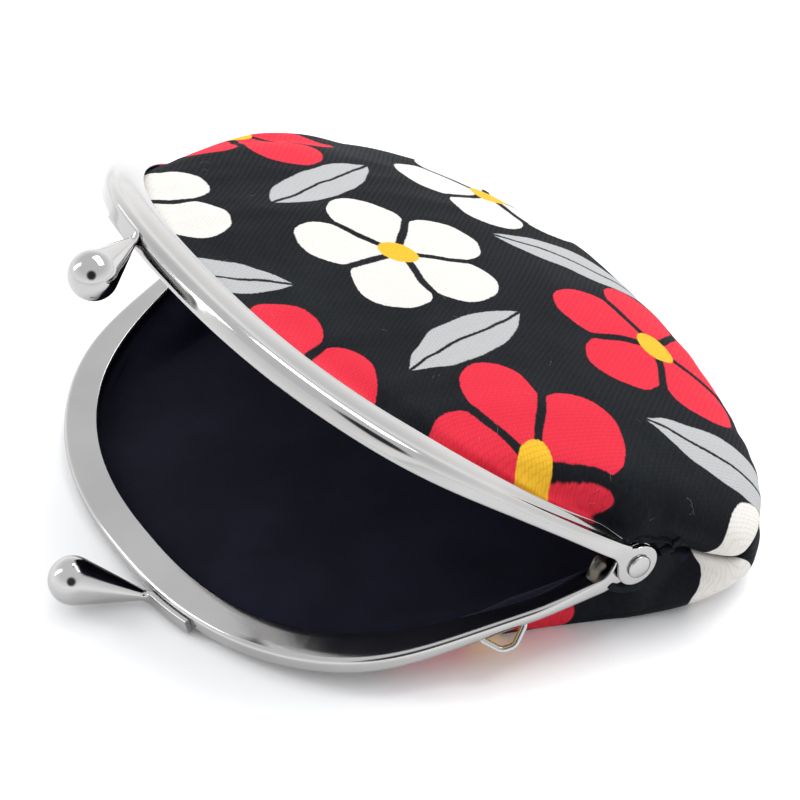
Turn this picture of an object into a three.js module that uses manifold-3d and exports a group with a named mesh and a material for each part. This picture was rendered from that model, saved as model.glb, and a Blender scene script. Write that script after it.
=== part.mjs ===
// A round coin purse with a hinged metal clasp frame, lying open on a table on its back half.
// Millimetres, +Z up. The hinge axis runs along X, the mouth opens towards -Y, and the table is z = 0.
import * as THREE from "three";
import { mergeVertices } from "three/addons/utils/BufferGeometryUtils.js";
import Module from "manifold-3d";

const wasm = await Module();
wasm.setup();

const DEG = Math.PI / 180;

// Frame: two arched channels of bent sheet, hinged together at both ends
const FRAME_WIDTH = 85; // over the two hinges
const FRAME_HEIGHT = 44.7; // hinge axis to crest
const ARCH_FULLNESS = 2.4; // 2 is an ellipse, more is squarer
const SIDE_FLATTENING = 1.7; // how far the arch's sides are flattened inward
const SIDE_FLAT_END = 36; // hinge axis to where the flattening ends
const FRONT_ANGLE = 38; // degrees that the front half stands up from level
const BACK_ANGLE = 10; // degrees that the back half dips to the table
const SHEET = 0.5;
const CREST_DEPTH = 2.7; // across the channel at its closed edge
const LIP_DEPTH = 3.5; // across the channel at its open lips
const OUTER_WALL = 4.4; // width of the outer wall at the top of the arch
const INNER_WALL = 4.3; // width of the inner wall there
const HINGE_WALL = 2.4; // width of both walls beside the hinge
const HINGE_DEPTH_SHARE = 0.76; // of the channel's depths, beside the hinge
const OUTER_CORNER = 1.2; // bend radius from crest to outer wall
const OUTER_BEND_END = 95; // degrees at which the outer corner's bend runs into the outer wall
const INNER_CORNER = 0.7; // bend radius from crest to inner wall
const OUTER_CROWN = 0.18; // how far the outer wall is domed
const CHANNEL_START = 4.6; // hinge axis to the ends of the channel
const TAPER_START = 12; // hinge axis to where the channel starts to widen and deepen
const TAPER_END = 34; // hinge axis to where it has its full size
const JOGGLE_LENGTH = 13; // over which the back half steps in beside the front half

// Hinges
const LUG_RADIUS = 2.7;
const LUG_TOP = 65; // degrees round the lug's disc at which its neck leaves the outer side
const LUG_BOTTOM = 300; // and the side where the halves meet
const LUG_GAP = 0.3;
const RIVET_RADIUS = 0.8;
const RIVET_CLEARANCE = 0.25;
const RIVET_HEAD_RADIUS = 1.45;
const RIVET_HEAD_HEIGHT = 0.55;
const RIVET_TAIL_HEIGHT = 0.35;
const RIVET_SEAT_GAP = 0.15;

// Clasps: one on each half, leaning to each other so that the balls snap past
const BALL_RADIUS = 2.9;
const CLASP_OFFSET = 9.0; // middle of the frame to the clasp's stem
const BALL_OFFSET = 2.8; // middle of the frame to the ball
const BALL_REACH = 6.9; // crest to the ball's centre
const BALL_LEAN = 2.4; // ball's centre past the plane where the halves meet
const STEM_RADIUS = 0.7; // where the stem leaves the foot
const FOOT_LENGTH = 6.2;
const FOOT_WIDTH = 2.0;
const FOOT_THICKNESS = 0.7;
const SEAT_GAP = 0.15; // clasp foot to crest

// Strap eye, a bent loop soldered beside the right hinge of the back half
const EYE_PLACE = 16.5; // hinge axis to the middle of the eye
const EYE_BASE = 5.8;
const EYE_TOP = 1.6;
const EYE_HEIGHT = 2.3;
const EYE_STRIP = 0.65;
const EYE_WIDTH = 1.1;
const EYE_SLOPE = 35; // degrees that it points outward from the frame's depth

// Cloth: a printed cover and a plain lining, each of a front and a back panel
const COVER_THICKNESS = 1.1;
const LINING_THICKNESS = 1.0;
const EDGE_THICKNESS = 0.5; // of each cloth where the channel grips it
const CLOTH_GAP = 0.3; // cover to lining
const GRIP_GAP = 0.2; // cloth to channel, and cloth to cloth inside it
const GRIP_DEPTH = 1.3; // how far the cloth reaches into the channel at the top of the arch
const GRIP_SHARE = 0.12; // of a panel's length over which the cloth swells to full thickness
const POUCH_WIDTH = 96; // across the seam
const POUCH_DEPTH = 28; // hinge axis to the far middle of the seam
const SEAM_FULLNESS = 2.1;
const SEAM_DROP = 3.6; // of the seam's far middle below the hinge axis
const SEAM_DROP_EASE = 0.35; // less makes the seam fall sooner beside the hinges
const SEAM_START = 4.6; // hinge axis to the start of the seam
const SEAM_INSET = 2.4; // of the seam's start inside the frame's width
const PINCH_SPREAD = 11; // degrees round the pouch over which the hinge pinches the seam
const LINING_SKIP = 5; // steps round the pouch, from each hinge, to where the lining begins
const SEAM_GAP = 0.3;
const TABLE_BLEND = 1.2; // rounding of the cloth into its flat seat on the table

// How each panel swells, from the right hinge (place 0) to the left hinge (place 1).
// lift: degrees that the cloth leaves the channel above its plane.
// mouth and seam: handles at those ends as shares of the panel's length there.
// lean: degrees that the cloth leans outward from upright where it meets the seam.
const FRONT_SWELL = [
  { place: 0.0, lift: 0, mouth: 0.25, seam: 0.25, lean: 30 },
  { place: 0.15, lift: 6, mouth: 0.22, seam: 0.25, lean: 30 },
  { place: 0.35, lift: 12, mouth: 0.28, seam: 0.18, lean: 12 },
  { place: 0.6, lift: 34, mouth: 0.2, seam: 0.18, lean: 16 },
  { place: 0.78, lift: 66, mouth: 0.2, seam: 0.15, lean: 5 },
  { place: 0.93, lift: 70, mouth: 0.38, seam: 0.15, lean: 8 },
  { place: 1.0, lift: 68, mouth: 0.4, seam: 0.2, lean: 30 },
];
const BACK_SWELL = [
  { place: 0.0, lift: 30, mouth: 0.3, seam: 0.25, lean: 25 },
  { place: 0.1, lift: 56, mouth: 0.4, seam: 0.22, lean: 28 },
  { place: 0.25, lift: 75, mouth: 0.4, seam: 0.25, lean: 35 },
  { place: 0.5, lift: 30, mouth: 0.35, seam: 0.2, lean: 35 },
  { place: 0.75, lift: 75, mouth: 0.4, seam: 0.25, lean: 35 },
  { place: 0.9, lift: 56, mouth: 0.4, seam: 0.22, lean: 28 },
  { place: 1.0, lift: 30, mouth: 0.3, seam: 0.25, lean: 25 },
];

// Gathers of the cloth where the hinges draw it in: waves across the panels that fade away from the frame.
const GATHER_HEIGHT = 0.6;
const GATHER_PITCH = 24; // degrees round the pouch from fold to fold
const GATHER_SPREAD = 34; // degrees round the pouch over which they fade

// Mesh fineness
const ARCH_STEPS = 36;
const PANEL_STEPS_ROUND = 30;
const PANEL_STEPS_ACROSS = 11;
const BEND_STEPS = 3;
const ROUND_SIDES = 16;

const halfWidth = FRAME_WIDTH / 2;

// Materials
const nickel = new THREE.MeshStandardMaterial({ color: 0x9a9896, metalness: 1, roughness: 0.12 });
const print = new THREE.MeshStandardMaterial({ color: 0x26282c, metalness: 0, roughness: 0.9 });
const navy = new THREE.MeshStandardMaterial({ color: 0x171826, metalness: 0, roughness: 0.85 });

const lerp = THREE.MathUtils.lerp;
const power = (x, p) => Math.sign(x) * Math.abs(x) ** p;

// The greater of a and b, rounded where they cross over a width of k.
function smoothMax(a, b, k) {
  const h = Math.max(k - Math.abs(a - b), 0);
  return Math.max(a, b) + (h * h) / (4 * k);
}

// A column of a swell table at a place, eased from row to row.
function swellAt(table, column, place) {
  const i = Math.max(1, table.findIndex((row) => row.place >= place));
  const a = table[i - 1];
  const b = table[i];
  return lerp(a[column], b[column], THREE.MathUtils.smoothstep(place, a.place, b.place));
}

// The two frame halves. along is the direction from hinge axis to crest, out points away from the other half.
function halfOf(front) {
  const sign = front ? 1 : -1;
  const angle = (front ? FRONT_ANGLE : -BACK_ANGLE) * DEG;
  return {
    front,
    sign,
    along: new THREE.Vector3(0, -Math.cos(angle), Math.sin(angle)),
    out: new THREE.Vector3(0, Math.sin(angle), Math.cos(angle)).multiplyScalar(sign),
    stepIn: front ? 0 : SHEET + LUG_GAP,
    swell: front ? FRONT_SWELL : BACK_SWELL,
  };
}
const frontHalf = halfOf(true);
const backHalf = halfOf(false);

// A point of a half's crest line at an angle round the arch: u along X, v from the hinge axis,
// and the unit direction (iu, iv) from there to the inside of the arch.
function archAt(half, angle) {
  const a = halfWidth;
  const u = a * power(Math.cos(angle), 2 / ARCH_FULLNESS);
  const v = FRAME_HEIGHT * power(Math.sin(angle), 2 / ARCH_FULLNESS);
  const turn = (Math.PI * Math.min(v, SIDE_FLAT_END)) / SIDE_FLAT_END;
  const flattening = SIDE_FLATTENING * Math.sin(turn) ** 2;
  const slope = ((SIDE_FLATTENING * Math.PI) / SIDE_FLAT_END) * Math.sin(2 * turn);
  const gu = power(u / a, ARCH_FULLNESS - 1) / a;
  const gv = power(v / FRAME_HEIGHT, ARCH_FULLNESS - 1) / FRAME_HEIGHT + Math.abs(gu) * slope;
  const length = Math.hypot(gu, gv);
  const step = half.stepIn * (1 - THREE.MathUtils.smoothstep(v, CHANNEL_START, JOGGLE_LENGTH));
  return { u: u - Math.sign(u) * (flattening + step), v, iu: -gu / length, iv: -gv / length };
}

// The angle round the arch at which the crest line is v from the hinge axis.
const archAngle = (v) => Math.asin((v / FRAME_HEIGHT) ** (ARCH_FULLNESS / 2));
const archStart = archAngle(CHANNEL_START);

// The channel's sizes where the crest line is v from the hinge axis.
function channelAt(v) {
  const t = THREE.MathUtils.smoothstep(v, TAPER_START, TAPER_END);
  const depth = lerp(HINGE_DEPTH_SHARE, 1, t);
  return {
    crest: CREST_DEPTH * depth,
    lip: LIP_DEPTH * depth,
    outer: lerp(HINGE_WALL, OUTER_WALL, t),
    inner: lerp(HINGE_WALL, INNER_WALL, t),
  };
}

// A point of a half, from a point of its crest line: w inward in the half's plane, n out of it.
function onHalf(half, arch, w, n) {
  return new THREE.Vector3(arch.u + arch.iu * w, 0, 0)
    .addScaledVector(half.along, arch.v + arch.iv * w)
    .addScaledVector(half.out, n);
}

// Points of a bend from angle a to angle b round a centre, as [w, n].
function bend(w, n, radius, a, b, steps = BEND_STEPS) {
  return Array.from({ length: steps + 1 }, (_, i) => {
    const angle = lerp(a, b, i / steps) * DEG;
    return [w + radius * Math.cos(angle), n + radius * Math.sin(angle)];
  });
}

// The channel's section as [w, n] points: round the outside from the inner lip, and back inside.
function channelSection({ crest, lip, outer, inner }) {
  const ro = OUTER_CORNER;
  const ri = INNER_CORNER;
  return [
    [inner, 0],
    ...bend(ri, ri, ri, 270, 180),
    ...bend(ro, crest - ro, ro, 180, OUTER_BEND_END),
    [(ro + outer) / 2, (crest + lip) / 2 + OUTER_CROWN],
    [outer, lip],
    [outer, lip - SHEET],
    [(ro + outer) / 2, (crest + lip) / 2 + OUTER_CROWN - SHEET],
    ...bend(ro, crest - ro, ro - SHEET, OUTER_BEND_END, 180, 1),
    [SHEET, SHEET],
    [inner, SHEET],
  ];
}

// The hinge axis above the table, on which the back half's channel rests at the top of its arch.
const hingeHeight = Math.max(
  ...channelSection(channelAt(FRAME_HEIGHT)).map(
    ([w, n]) => (FRAME_HEIGHT - w) * Math.sin(BACK_ANGLE * DEG) + n * Math.cos(BACK_ANGLE * DEG),
  ),
);

// A solid through rings of points, with a flat cap at each end triangulated from its section.
function loft(rings, section) {
  const count = section.length;
  const flat = section.map(([x, y]) => new THREE.Vector2(x, y));
  const winding = (points) => Math.sign(THREE.ShapeUtils.area(points));
  const cap = THREE.ShapeUtils.triangulateShape(flat, []).map((face) =>
    winding(face.map((k) => flat[k])) === winding(flat) ? face : face.reverse(),
  );
  const index = [];
  for (let i = 0; i + 1 < rings.length; i++) {
    for (let j = 0; j < count; j++) {
      const a = i * count + j;
      const b = i * count + ((j + 1) % count);
      index.push(a, b, b + count, a, b + count, a + count);
    }
  }
  const last = (rings.length - 1) * count;
  for (const [a, b, c] of cap) index.push(a, c, b, last + a, last + b, last + c);
  return closedGeometry(rings.flat(), index);
}

// A closed sheet between an outer and an inner grid of points.
function slab(outer, inner) {
  const rows = outer.length;
  const columns = outer[0].length;
  const under = rows * columns;
  const at = (i, j) => i * columns + j;
  const index = [];
  const quad = (a, b, c, d) => index.push(a, b, c, a, c, d);
  for (let i = 0; i + 1 < rows; i++) {
    for (let j = 0; j + 1 < columns; j++) {
      quad(at(i, j), at(i, j + 1), at(i + 1, j + 1), at(i + 1, j));
      quad(under + at(i, j), under + at(i + 1, j), under + at(i + 1, j + 1), under + at(i, j + 1));
    }
  }
  const rim = [];
  for (let j = 0; j < columns; j++) rim.push(at(0, j));
  for (let i = 1; i < rows; i++) rim.push(at(i, columns - 1));
  for (let j = columns - 2; j >= 0; j--) rim.push(at(rows - 1, j));
  for (let i = rows - 2; i > 0; i--) rim.push(at(i, 0));
  rim.forEach((a, i) => {
    const b = rim[(i + 1) % rim.length];
    quad(b, a, under + a, under + b);
  });
  return closedGeometry([...outer.flat(), ...inner.flat()], index);
}

// A geometry from points and triangles, turned so that its faces point out.
function closedGeometry(points, index) {
  let volume = 0;
  for (let i = 0; i < index.length; i += 3) {
    const [a, b, c] = [points[index[i]], points[index[i + 1]], points[index[i + 2]]];
    volume += a.dot(b.clone().cross(c));
  }
  if (volume < 0) {
    for (let i = 0; i < index.length; i += 3) {
      [index[i], index[i + 1]] = [index[i + 1], index[i]];
    }
  }
  return new THREE.BufferGeometry().setFromPoints(points).setIndex(index);
}

// A closed geometry as a solid that can be joined and cut.
function solidOf(geometry) {
  const bare = geometry.clone();
  bare.deleteAttribute("normal");
  bare.deleteAttribute("uv");
  const merged = mergeVertices(bare, 1e-4);
  return new wasm.Manifold(
    new wasm.Mesh({
      numProp: 3,
      vertProperties: new Float32Array(merged.attributes.position.array),
      triVerts: new Uint32Array(merged.index.array),
    }),
  );
}

// A solid as a geometry.
function geometryOf(solid) {
  const { vertProperties, triVerts } = solid.getMesh();
  return new THREE.BufferGeometry()
    .setAttribute("position", new THREE.BufferAttribute(vertProperties, 3))
    .setIndex(new THREE.BufferAttribute(triVerts, 1));
}

function namedMesh(name, geometry, material) {
  const mesh = new THREE.Mesh(geometry, material);
  mesh.name = name;
  return mesh;
}

// A cylinder along X from x0 to x1 on the hinge axis.
function hingeDisc(radius, x0, x1, sides = ROUND_SIDES) {
  return new THREE.CylinderGeometry(radius, radius, Math.abs(x1 - x0), sides)
    .rotateZ(Math.PI / 2)
    .translate((x0 + x1) / 2, 0, 0);
}

// The channel of one half, swept round the arch.
function channel(half) {
  const rings = [];
  for (let i = 0; i <= ARCH_STEPS; i++) {
    const arch = archAt(half, lerp(archStart, Math.PI - archStart, i / ARCH_STEPS));
    const section = channelSection(channelAt(arch.v));
    rings.push(section.map(([w, n]) => onHalf(half, arch, w, n)));
  }
  return loft(rings, channelSection(channelAt(CHANNEL_START)));
}

// A lug: the end of the crest runs on as a plate to a disc round the hinge axis.
function lug(half, side) {
  const arch = archAt(half, archStart);
  const depth = channelAt(CHANNEL_START).crest;
  const reach = CHANNEL_START + SHEET;
  const outline = new THREE.Shape();
  outline.moveTo(reach, 0);
  outline.lineTo(reach, depth);
  outline.lineTo(CHANNEL_START - SHEET, depth);
  outline.absarc(0, 0, LUG_RADIUS, LUG_TOP * DEG, LUG_BOTTOM * DEG, false);
  outline.closePath();
  const plate = new THREE.ExtrudeGeometry(outline, {
    depth: SHEET,
    bevelEnabled: false,
    curveSegments: ROUND_SIDES,
  });
  const outside = arch.u;
  const place = new THREE.Matrix4().makeBasis(half.along, half.out, new THREE.Vector3(-half.sign, 0, 0));
  plate.applyMatrix4(place);
  const box = new THREE.Box3().setFromBufferAttribute(plate.attributes.position);
  plate.translate(side > 0 ? outside - box.max.x : -outside - box.min.x, 0, 0);
  return plate;
}

// The strap eye: a bent loop with its foot in the crest of the back half.
function strapEye(half) {
  const arch = archAt(half, archAngle(EYE_PLACE));
  const { crest } = channelAt(arch.v);
  const foot = SHEET;
  const outline = new THREE.Shape();
  outline.moveTo(-EYE_BASE / 2, -foot);
  outline.lineTo(EYE_BASE / 2, -foot);
  outline.lineTo(EYE_TOP / 2, EYE_HEIGHT);
  outline.lineTo(-EYE_TOP / 2, EYE_HEIGHT);
  outline.closePath();
  const inner = (EYE_HEIGHT - EYE_STRIP) / EYE_HEIGHT;
  const hole = new THREE.Path();
  hole.moveTo(-EYE_BASE / 2 + 2 * EYE_STRIP, EYE_STRIP / 4);
  hole.lineTo(EYE_BASE / 2 - 2 * EYE_STRIP, EYE_STRIP / 4);
  hole.lineTo((EYE_TOP / 2) * inner, EYE_HEIGHT - EYE_STRIP);
  hole.lineTo((-EYE_TOP / 2) * inner, EYE_HEIGHT - EYE_STRIP);
  hole.closePath();
  outline.holes.push(hole);
  const loop = new THREE.ExtrudeGeometry(outline, { depth: EYE_WIDTH, bevelEnabled: false });
  const tangent = new THREE.Vector3(-arch.iv, 0, 0).addScaledVector(half.along, arch.iu).normalize();
  const outward = new THREE.Vector3(-arch.iu, 0, 0).addScaledVector(half.along, -arch.iv).normalize();
  const up = outward
    .clone()
    .multiplyScalar(Math.sin(EYE_SLOPE * DEG))
    .addScaledVector(half.out, Math.cos(EYE_SLOPE * DEG));
  const across = tangent.clone().cross(up);
  loop.translate(0, 0, -EYE_WIDTH / 2);
  loop.applyMatrix4(new THREE.Matrix4().makeBasis(tangent, up, across));
  const seat = onHalf(half, arch, OUTER_CORNER / 2, crest - OUTER_CORNER / 4);
  loop.translate(seat.x, seat.y, seat.z);
  return loop;
}

// One half of the frame: channel, two lugs with their rivet holes, and the eye on the back half.
function frameHalf(half) {
  let solid = solidOf(channel(half));
  for (const side of [1, -1]) {
    solid = solid.add(solidOf(lug(half, side)));
    const reach = side * halfWidth;
    const hole = hingeDisc(RIVET_RADIUS + RIVET_CLEARANCE, reach - side * LUG_RADIUS, reach + side);
    solid = solid.subtract(solidOf(hole));
  }
  if (!half.front) solid = solid.add(solidOf(strapEye(half)));
  return geometryOf(solid);
}

// A rivet through both lugs of a hinge, with a domed head outside and a small spread tail inside.
function hingeRivet(side) {
  const outside = archAt(frontHalf, archStart).u + RIVET_SEAT_GAP;
  const inside = archAt(backHalf, archStart).u - SHEET - RIVET_SEAT_GAP;
  const profile = [new THREE.Vector2(0, inside - RIVET_TAIL_HEIGHT)];
  const tail = RIVET_RADIUS + 2 * RIVET_CLEARANCE;
  profile.push(new THREE.Vector2(tail, inside - RIVET_TAIL_HEIGHT));
  profile.push(new THREE.Vector2(tail, inside));
  profile.push(new THREE.Vector2(RIVET_RADIUS, inside));
  profile.push(new THREE.Vector2(RIVET_RADIUS, outside));
  for (let i = 0; i <= BEND_STEPS; i++) {
    const a = (i / BEND_STEPS) * 90 * DEG;
    profile.push(
      new THREE.Vector2(RIVET_HEAD_RADIUS * Math.cos(a), outside + RIVET_HEAD_HEIGHT * Math.sin(a)),
    );
  }
  profile.at(-1).x = 0;
  return new THREE.LatheGeometry(profile, ROUND_SIDES).rotateZ(-side * 90 * DEG);
}

// A clasp: a flat foot along the crest, bent out into a cone that runs smoothly into a ball.
function clasp(half) {
  const side = half.front ? -1 : 1;
  const { crest } = channelAt(FRAME_HEIGHT);
  const middle = crest / 2;
  const archOver = (u) => {
    const angle = Math.acos((u / halfWidth) ** (ARCH_FULLNESS / 2));
    return archAt(half, side > 0 ? angle : Math.PI - angle);
  };
  const strip = [
    [-FOOT_THICKNESS - SEAT_GAP, middle - FOOT_WIDTH / 2],
    [-SEAT_GAP, middle - FOOT_WIDTH / 2],
    [-SEAT_GAP, middle + FOOT_WIDTH / 2],
    [-FOOT_THICKNESS - SEAT_GAP, middle + FOOT_WIDTH / 2],
  ];
  const rings = [];
  for (let i = 0; i <= BEND_STEPS; i++) {
    const arch = archOver(CLASP_OFFSET - STEM_RADIUS + (FOOT_LENGTH * i) / BEND_STEPS);
    rings.push(strip.map(([w, n]) => onHalf(half, arch, w, n)));
  }
  const foot = loft(rings, strip);

  const root = onHalf(half, archOver(CLASP_OFFSET), -SEAT_GAP - STEM_RADIUS, middle);
  const crestLine = archOver(0.001);
  const ball = onHalf(half, { ...crestLine, u: side * BALL_OFFSET, iu: 0 }, -BALL_REACH, -BALL_LEAN);
  const length = root.distanceTo(ball);
  const profile = [new THREE.Vector2(0, 0), new THREE.Vector2(STEM_RADIUS, 0)];
  const meet = Math.acos((BALL_RADIUS - STEM_RADIUS) / length);
  const rise = ROUND_SIDES / 2;
  for (let i = 0; i <= rise; i++) {
    const a = lerp(meet, Math.PI, i / rise);
    profile.push(new THREE.Vector2(BALL_RADIUS * Math.sin(a), length - BALL_RADIUS * Math.cos(a)));
  }
  profile.at(-1).x = 0;
  const stem = new THREE.LatheGeometry(profile, ROUND_SIDES);
  const turn = new THREE.Quaternion().setFromUnitVectors(
    new THREE.Vector3(0, 1, 0),
    ball.clone().sub(root).normalize(),
  );
  stem.applyQuaternion(turn).translate(root.x, root.y, root.z);
  return geometryOf(solidOf(foot).add(solidOf(stem)));
}

// A point of the seam that joins the front and back panels, at a place from 0 to 1.
function seamAt(place) {
  const angle = place * Math.PI;
  const c = Math.cos(angle);
  const s = Math.sin(angle);
  const fromHinge = Math.min(place, 1 - place) * 180;
  const start = (halfWidth - SEAM_INSET) / (POUCH_WIDTH / 2);
  const pinch = 1 - (1 - start) * Math.exp(-((fromHinge / PINCH_SPREAD) ** 2));
  return new THREE.Vector3(
    (POUCH_WIDTH / 2) * power(c, 2 / SEAM_FULLNESS) * pinch,
    SEAM_START + (POUCH_DEPTH - SEAM_START) * power(s, 2 / SEAM_FULLNESS),
    -SEAM_DROP * s ** SEAM_DROP_EASE,
  );
}

// The handles of a panel's profile at a place: a curve from the channel's lips to the seam.
function panelProfile(half, place, arch) {
  const { lip, outer } = channelAt(arch.v);
  const start = onHalf(half, arch, outer, lip - SHEET - GRIP_GAP);
  const end = seamAt(place);
  end.z += (half.sign * SEAM_GAP) / 2;
  const reach = start.distanceTo(end);
  const swell = (column) => swellAt(half.swell, column, place);
  const lift = swell("lift") * DEG;
  const first = new THREE.Vector3(arch.iu, 0, 0)
    .addScaledVector(half.along, arch.iv)
    .multiplyScalar(Math.cos(lift))
    .addScaledVector(half.out, Math.sin(lift))
    .multiplyScalar(reach * swell("mouth"))
    .add(start);
  const lean = swell("lean") * DEG;
  const angle = place * Math.PI;
  const second = new THREE.Vector3(Math.cos(angle), Math.sin(angle), 0)
    .multiplyScalar(Math.sin(lean))
    .add(new THREE.Vector3(0, 0, half.sign * Math.cos(lean)))
    .multiplyScalar(reach * swell("seam"))
    .add(end);
  return new THREE.CubicBezierCurve3(start, first, second, end);
}

// The direction of the seam at a place, from the right hinge to the left.
function seamDirection(place) {
  const step = 1e-3;
  const ahead = seamAt(Math.min(place + step, 1));
  return ahead.sub(seamAt(Math.max(place - step, 0))).normalize();
}

// The height of the gathers beside the hinges.
function gatherAt(place, t) {
  const fromHinge = Math.min(place, 1 - place) * 180;
  const wave = Math.cos((fromHinge / GATHER_PITCH) * 2 * Math.PI);
  const fade = Math.exp(-((fromHinge / GATHER_SPREAD) ** 2));
  const rise = THREE.MathUtils.smoothstep(fromHinge, 0, GATHER_PITCH);
  return GATHER_HEIGHT * wave * fade * rise * Math.sin(Math.PI * t) ** 2;
}

// A point of a cloth surface at a place round the pouch. From t = 0 to 1 it runs from the channel's lips to
// the seam, and from t = -1 to 0 it lies between the channel's walls. depth is how far it lies below the
// pouch's outer surface, and gripDepth is the same inside the channel.
function clothPoint(half, place, t, depth, gripDepth) {
  const arch = archAt(half, lerp(archStart, Math.PI - archStart, place));
  if (t < 0) {
    const { crest, lip, outer } = channelAt(arch.v);
    const way = (-t * GRIP_DEPTH * outer) / OUTER_WALL;
    const wall = lerp(lip, crest, way / (outer - OUTER_CORNER));
    return onHalf(half, arch, outer - way, wall - SHEET - GRIP_GAP - gripDepth);
  }
  const profile = panelProfile(half, place, arch);
  const archDirection = new THREE.Vector3(arch.iv, 0, 0).addScaledVector(half.along, -arch.iu);
  const normal = archDirection
    .lerp(seamDirection(place), THREE.MathUtils.smoothstep(t, 0, 1))
    .cross(profile.getTangent(t))
    .multiplyScalar(-half.sign)
    .normalize();
  const free = THREE.MathUtils.smoothstep(t, 0, GRIP_SHARE);
  const under = half.out.clone().lerp(normal, free).normalize();
  const point = profile.getPoint(t).addScaledVector(normal, gatherAt(place, t));
  point.addScaledVector(under, -lerp(gripDepth, depth, free));
  point.z = smoothMax(point.z, depth - hingeHeight, TABLE_BLEND);
  return point;
}

// Places round the pouch at which a panel is drawn, closer together beside the hinges.
const panelPlaces = Array.from(
  { length: PANEL_STEPS_ROUND + 1 },
  (_, i) => 0.5 - 0.5 * Math.cos((i / PANEL_STEPS_ROUND) * Math.PI),
);

// One cloth panel, as a wall whose outer side lies a depth below the pouch's outer surface.
// It leaves out the steps next to each hinge that skip counts.
function clothPanel(half, { skip, depth, thickness, gripDepth }) {
  const places = panelPlaces.slice(skip, panelPlaces.length - skip);
  const side = (below, gripBelow) =>
    places.map((place) =>
      Array.from({ length: PANEL_STEPS_ACROSS + 2 }, (_, j) =>
        clothPoint(half, place, j === 0 ? -1 : (j - 1) / PANEL_STEPS_ACROSS, below, gripBelow),
      ),
    );
  return slab(side(depth, gripDepth), side(depth + thickness, gripDepth + EDGE_THICKNESS));
}

const cover = (half) =>
  clothPanel(half, { skip: 0, depth: 0, thickness: COVER_THICKNESS, gripDepth: 0 });
const lining = (half) =>
  clothPanel(half, {
    skip: LINING_SKIP,
    depth: COVER_THICKNESS + CLOTH_GAP,
    thickness: LINING_THICKNESS,
    gripDepth: EDGE_THICKNESS + GRIP_GAP,
  });

const purse = new THREE.Group();
purse.add(
  namedMesh("front_frame", frameHalf(frontHalf), nickel),
  namedMesh("back_frame", frameHalf(backHalf), nickel),
  namedMesh("front_clasp", clasp(frontHalf), nickel),
  namedMesh("back_clasp", clasp(backHalf), nickel),
  namedMesh("hinge_rivet_right", hingeRivet(1), nickel),
  namedMesh("hinge_rivet_left", hingeRivet(-1), nickel),
  namedMesh("front_cover", cover(frontHalf), print),
  namedMesh("back_cover", cover(backHalf), print),
  namedMesh("front_lining", lining(frontHalf), navy),
  namedMesh("back_lining", lining(backHalf), navy),
);

// The origin is on the table under the middle of the purse.
const box = new THREE.Box3().setFromObject(purse);
purse.position.set(-(box.min.x + box.max.x) / 2, -(box.min.y + box.max.y) / 2, -box.min.z);

export default purse;
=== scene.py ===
"""Look of a round coin purse with a hinged clasp frame, lying open on its back half.

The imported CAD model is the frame: metres, +Z up, the hinge axis along X, the mouth towards -Y.
Sizes here are in millimetres and degrees until a mesh is made.
"""

import logging
import math
from dataclasses import dataclass, field
from enum import Enum
from typing import Callable, Sequence, Union

import bpy
import numpy as np
from mathutils import Matrix, Vector, noise

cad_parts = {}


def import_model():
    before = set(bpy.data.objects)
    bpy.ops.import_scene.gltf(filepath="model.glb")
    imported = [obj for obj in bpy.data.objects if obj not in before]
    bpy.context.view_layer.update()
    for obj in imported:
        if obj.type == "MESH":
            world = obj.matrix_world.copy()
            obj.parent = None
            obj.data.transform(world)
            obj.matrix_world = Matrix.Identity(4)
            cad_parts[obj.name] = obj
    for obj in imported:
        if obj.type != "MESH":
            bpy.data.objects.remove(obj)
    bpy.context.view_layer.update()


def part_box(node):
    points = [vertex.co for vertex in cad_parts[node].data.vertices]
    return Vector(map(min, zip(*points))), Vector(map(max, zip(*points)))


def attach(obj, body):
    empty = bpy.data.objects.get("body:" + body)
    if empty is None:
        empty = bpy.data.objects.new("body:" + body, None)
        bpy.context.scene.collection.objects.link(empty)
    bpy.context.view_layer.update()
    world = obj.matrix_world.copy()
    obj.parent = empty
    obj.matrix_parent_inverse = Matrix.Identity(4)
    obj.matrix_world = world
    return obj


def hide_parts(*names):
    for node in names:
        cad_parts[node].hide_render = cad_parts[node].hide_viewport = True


log = logging.getLogger("coin_purse")

MM = 0.001
ROOT_BODY = "root"
CLOTH_MAP = "Cloth"
CLOTH_MAP_SPAN = 100.0  # millimetres of cloth to one unit of its map


class Side(Enum):
    """The two halves of the purse: the front stands up, the back lies on the table."""

    FRONT = 1
    BACK = -1

    @property
    def label(self) -> str:
        """The half's name in the names of nodes and pieces."""
        return self.name.lower()


class Slot(Enum):
    """Material slots of the record."""

    FRAME = "frame_metal"
    CLASP = "clasp_metal"
    RIVET = "rivet_metal"
    PRINT = "printed_cotton"
    LINING = "lining_cloth"


def blend(a: np.ndarray, b: np.ndarray, share: np.ndarray) -> np.ndarray:
    """The value at a share of the way from a to b."""
    return a + (b - a) * share


def smoothstep(x: np.ndarray, low: float, high: float) -> np.ndarray:
    """An eased rise from 0 at low to 1 at high."""
    t = np.clip((np.asarray(x, float) - low) / (high - low), 0.0, 1.0)
    return t * t * (3.0 - 2.0 * t)


def power(x: np.ndarray, exponent: float) -> np.ndarray:
    """A power that keeps the sign of x."""
    return np.sign(x) * np.abs(x) ** exponent


def smooth_max(a: np.ndarray, b: np.ndarray, width: float) -> np.ndarray:
    """The greater of a and b, rounded where they cross over a width."""
    h = np.maximum(width - np.abs(a - b), 0.0)
    return np.maximum(a, b) + h * h / (4.0 * width)


def unit(v: np.ndarray) -> np.ndarray:
    """Vectors of length 1 along the last axis."""
    return v / np.maximum(np.linalg.norm(v, axis=-1, keepdims=True), 1e-9)


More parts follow.
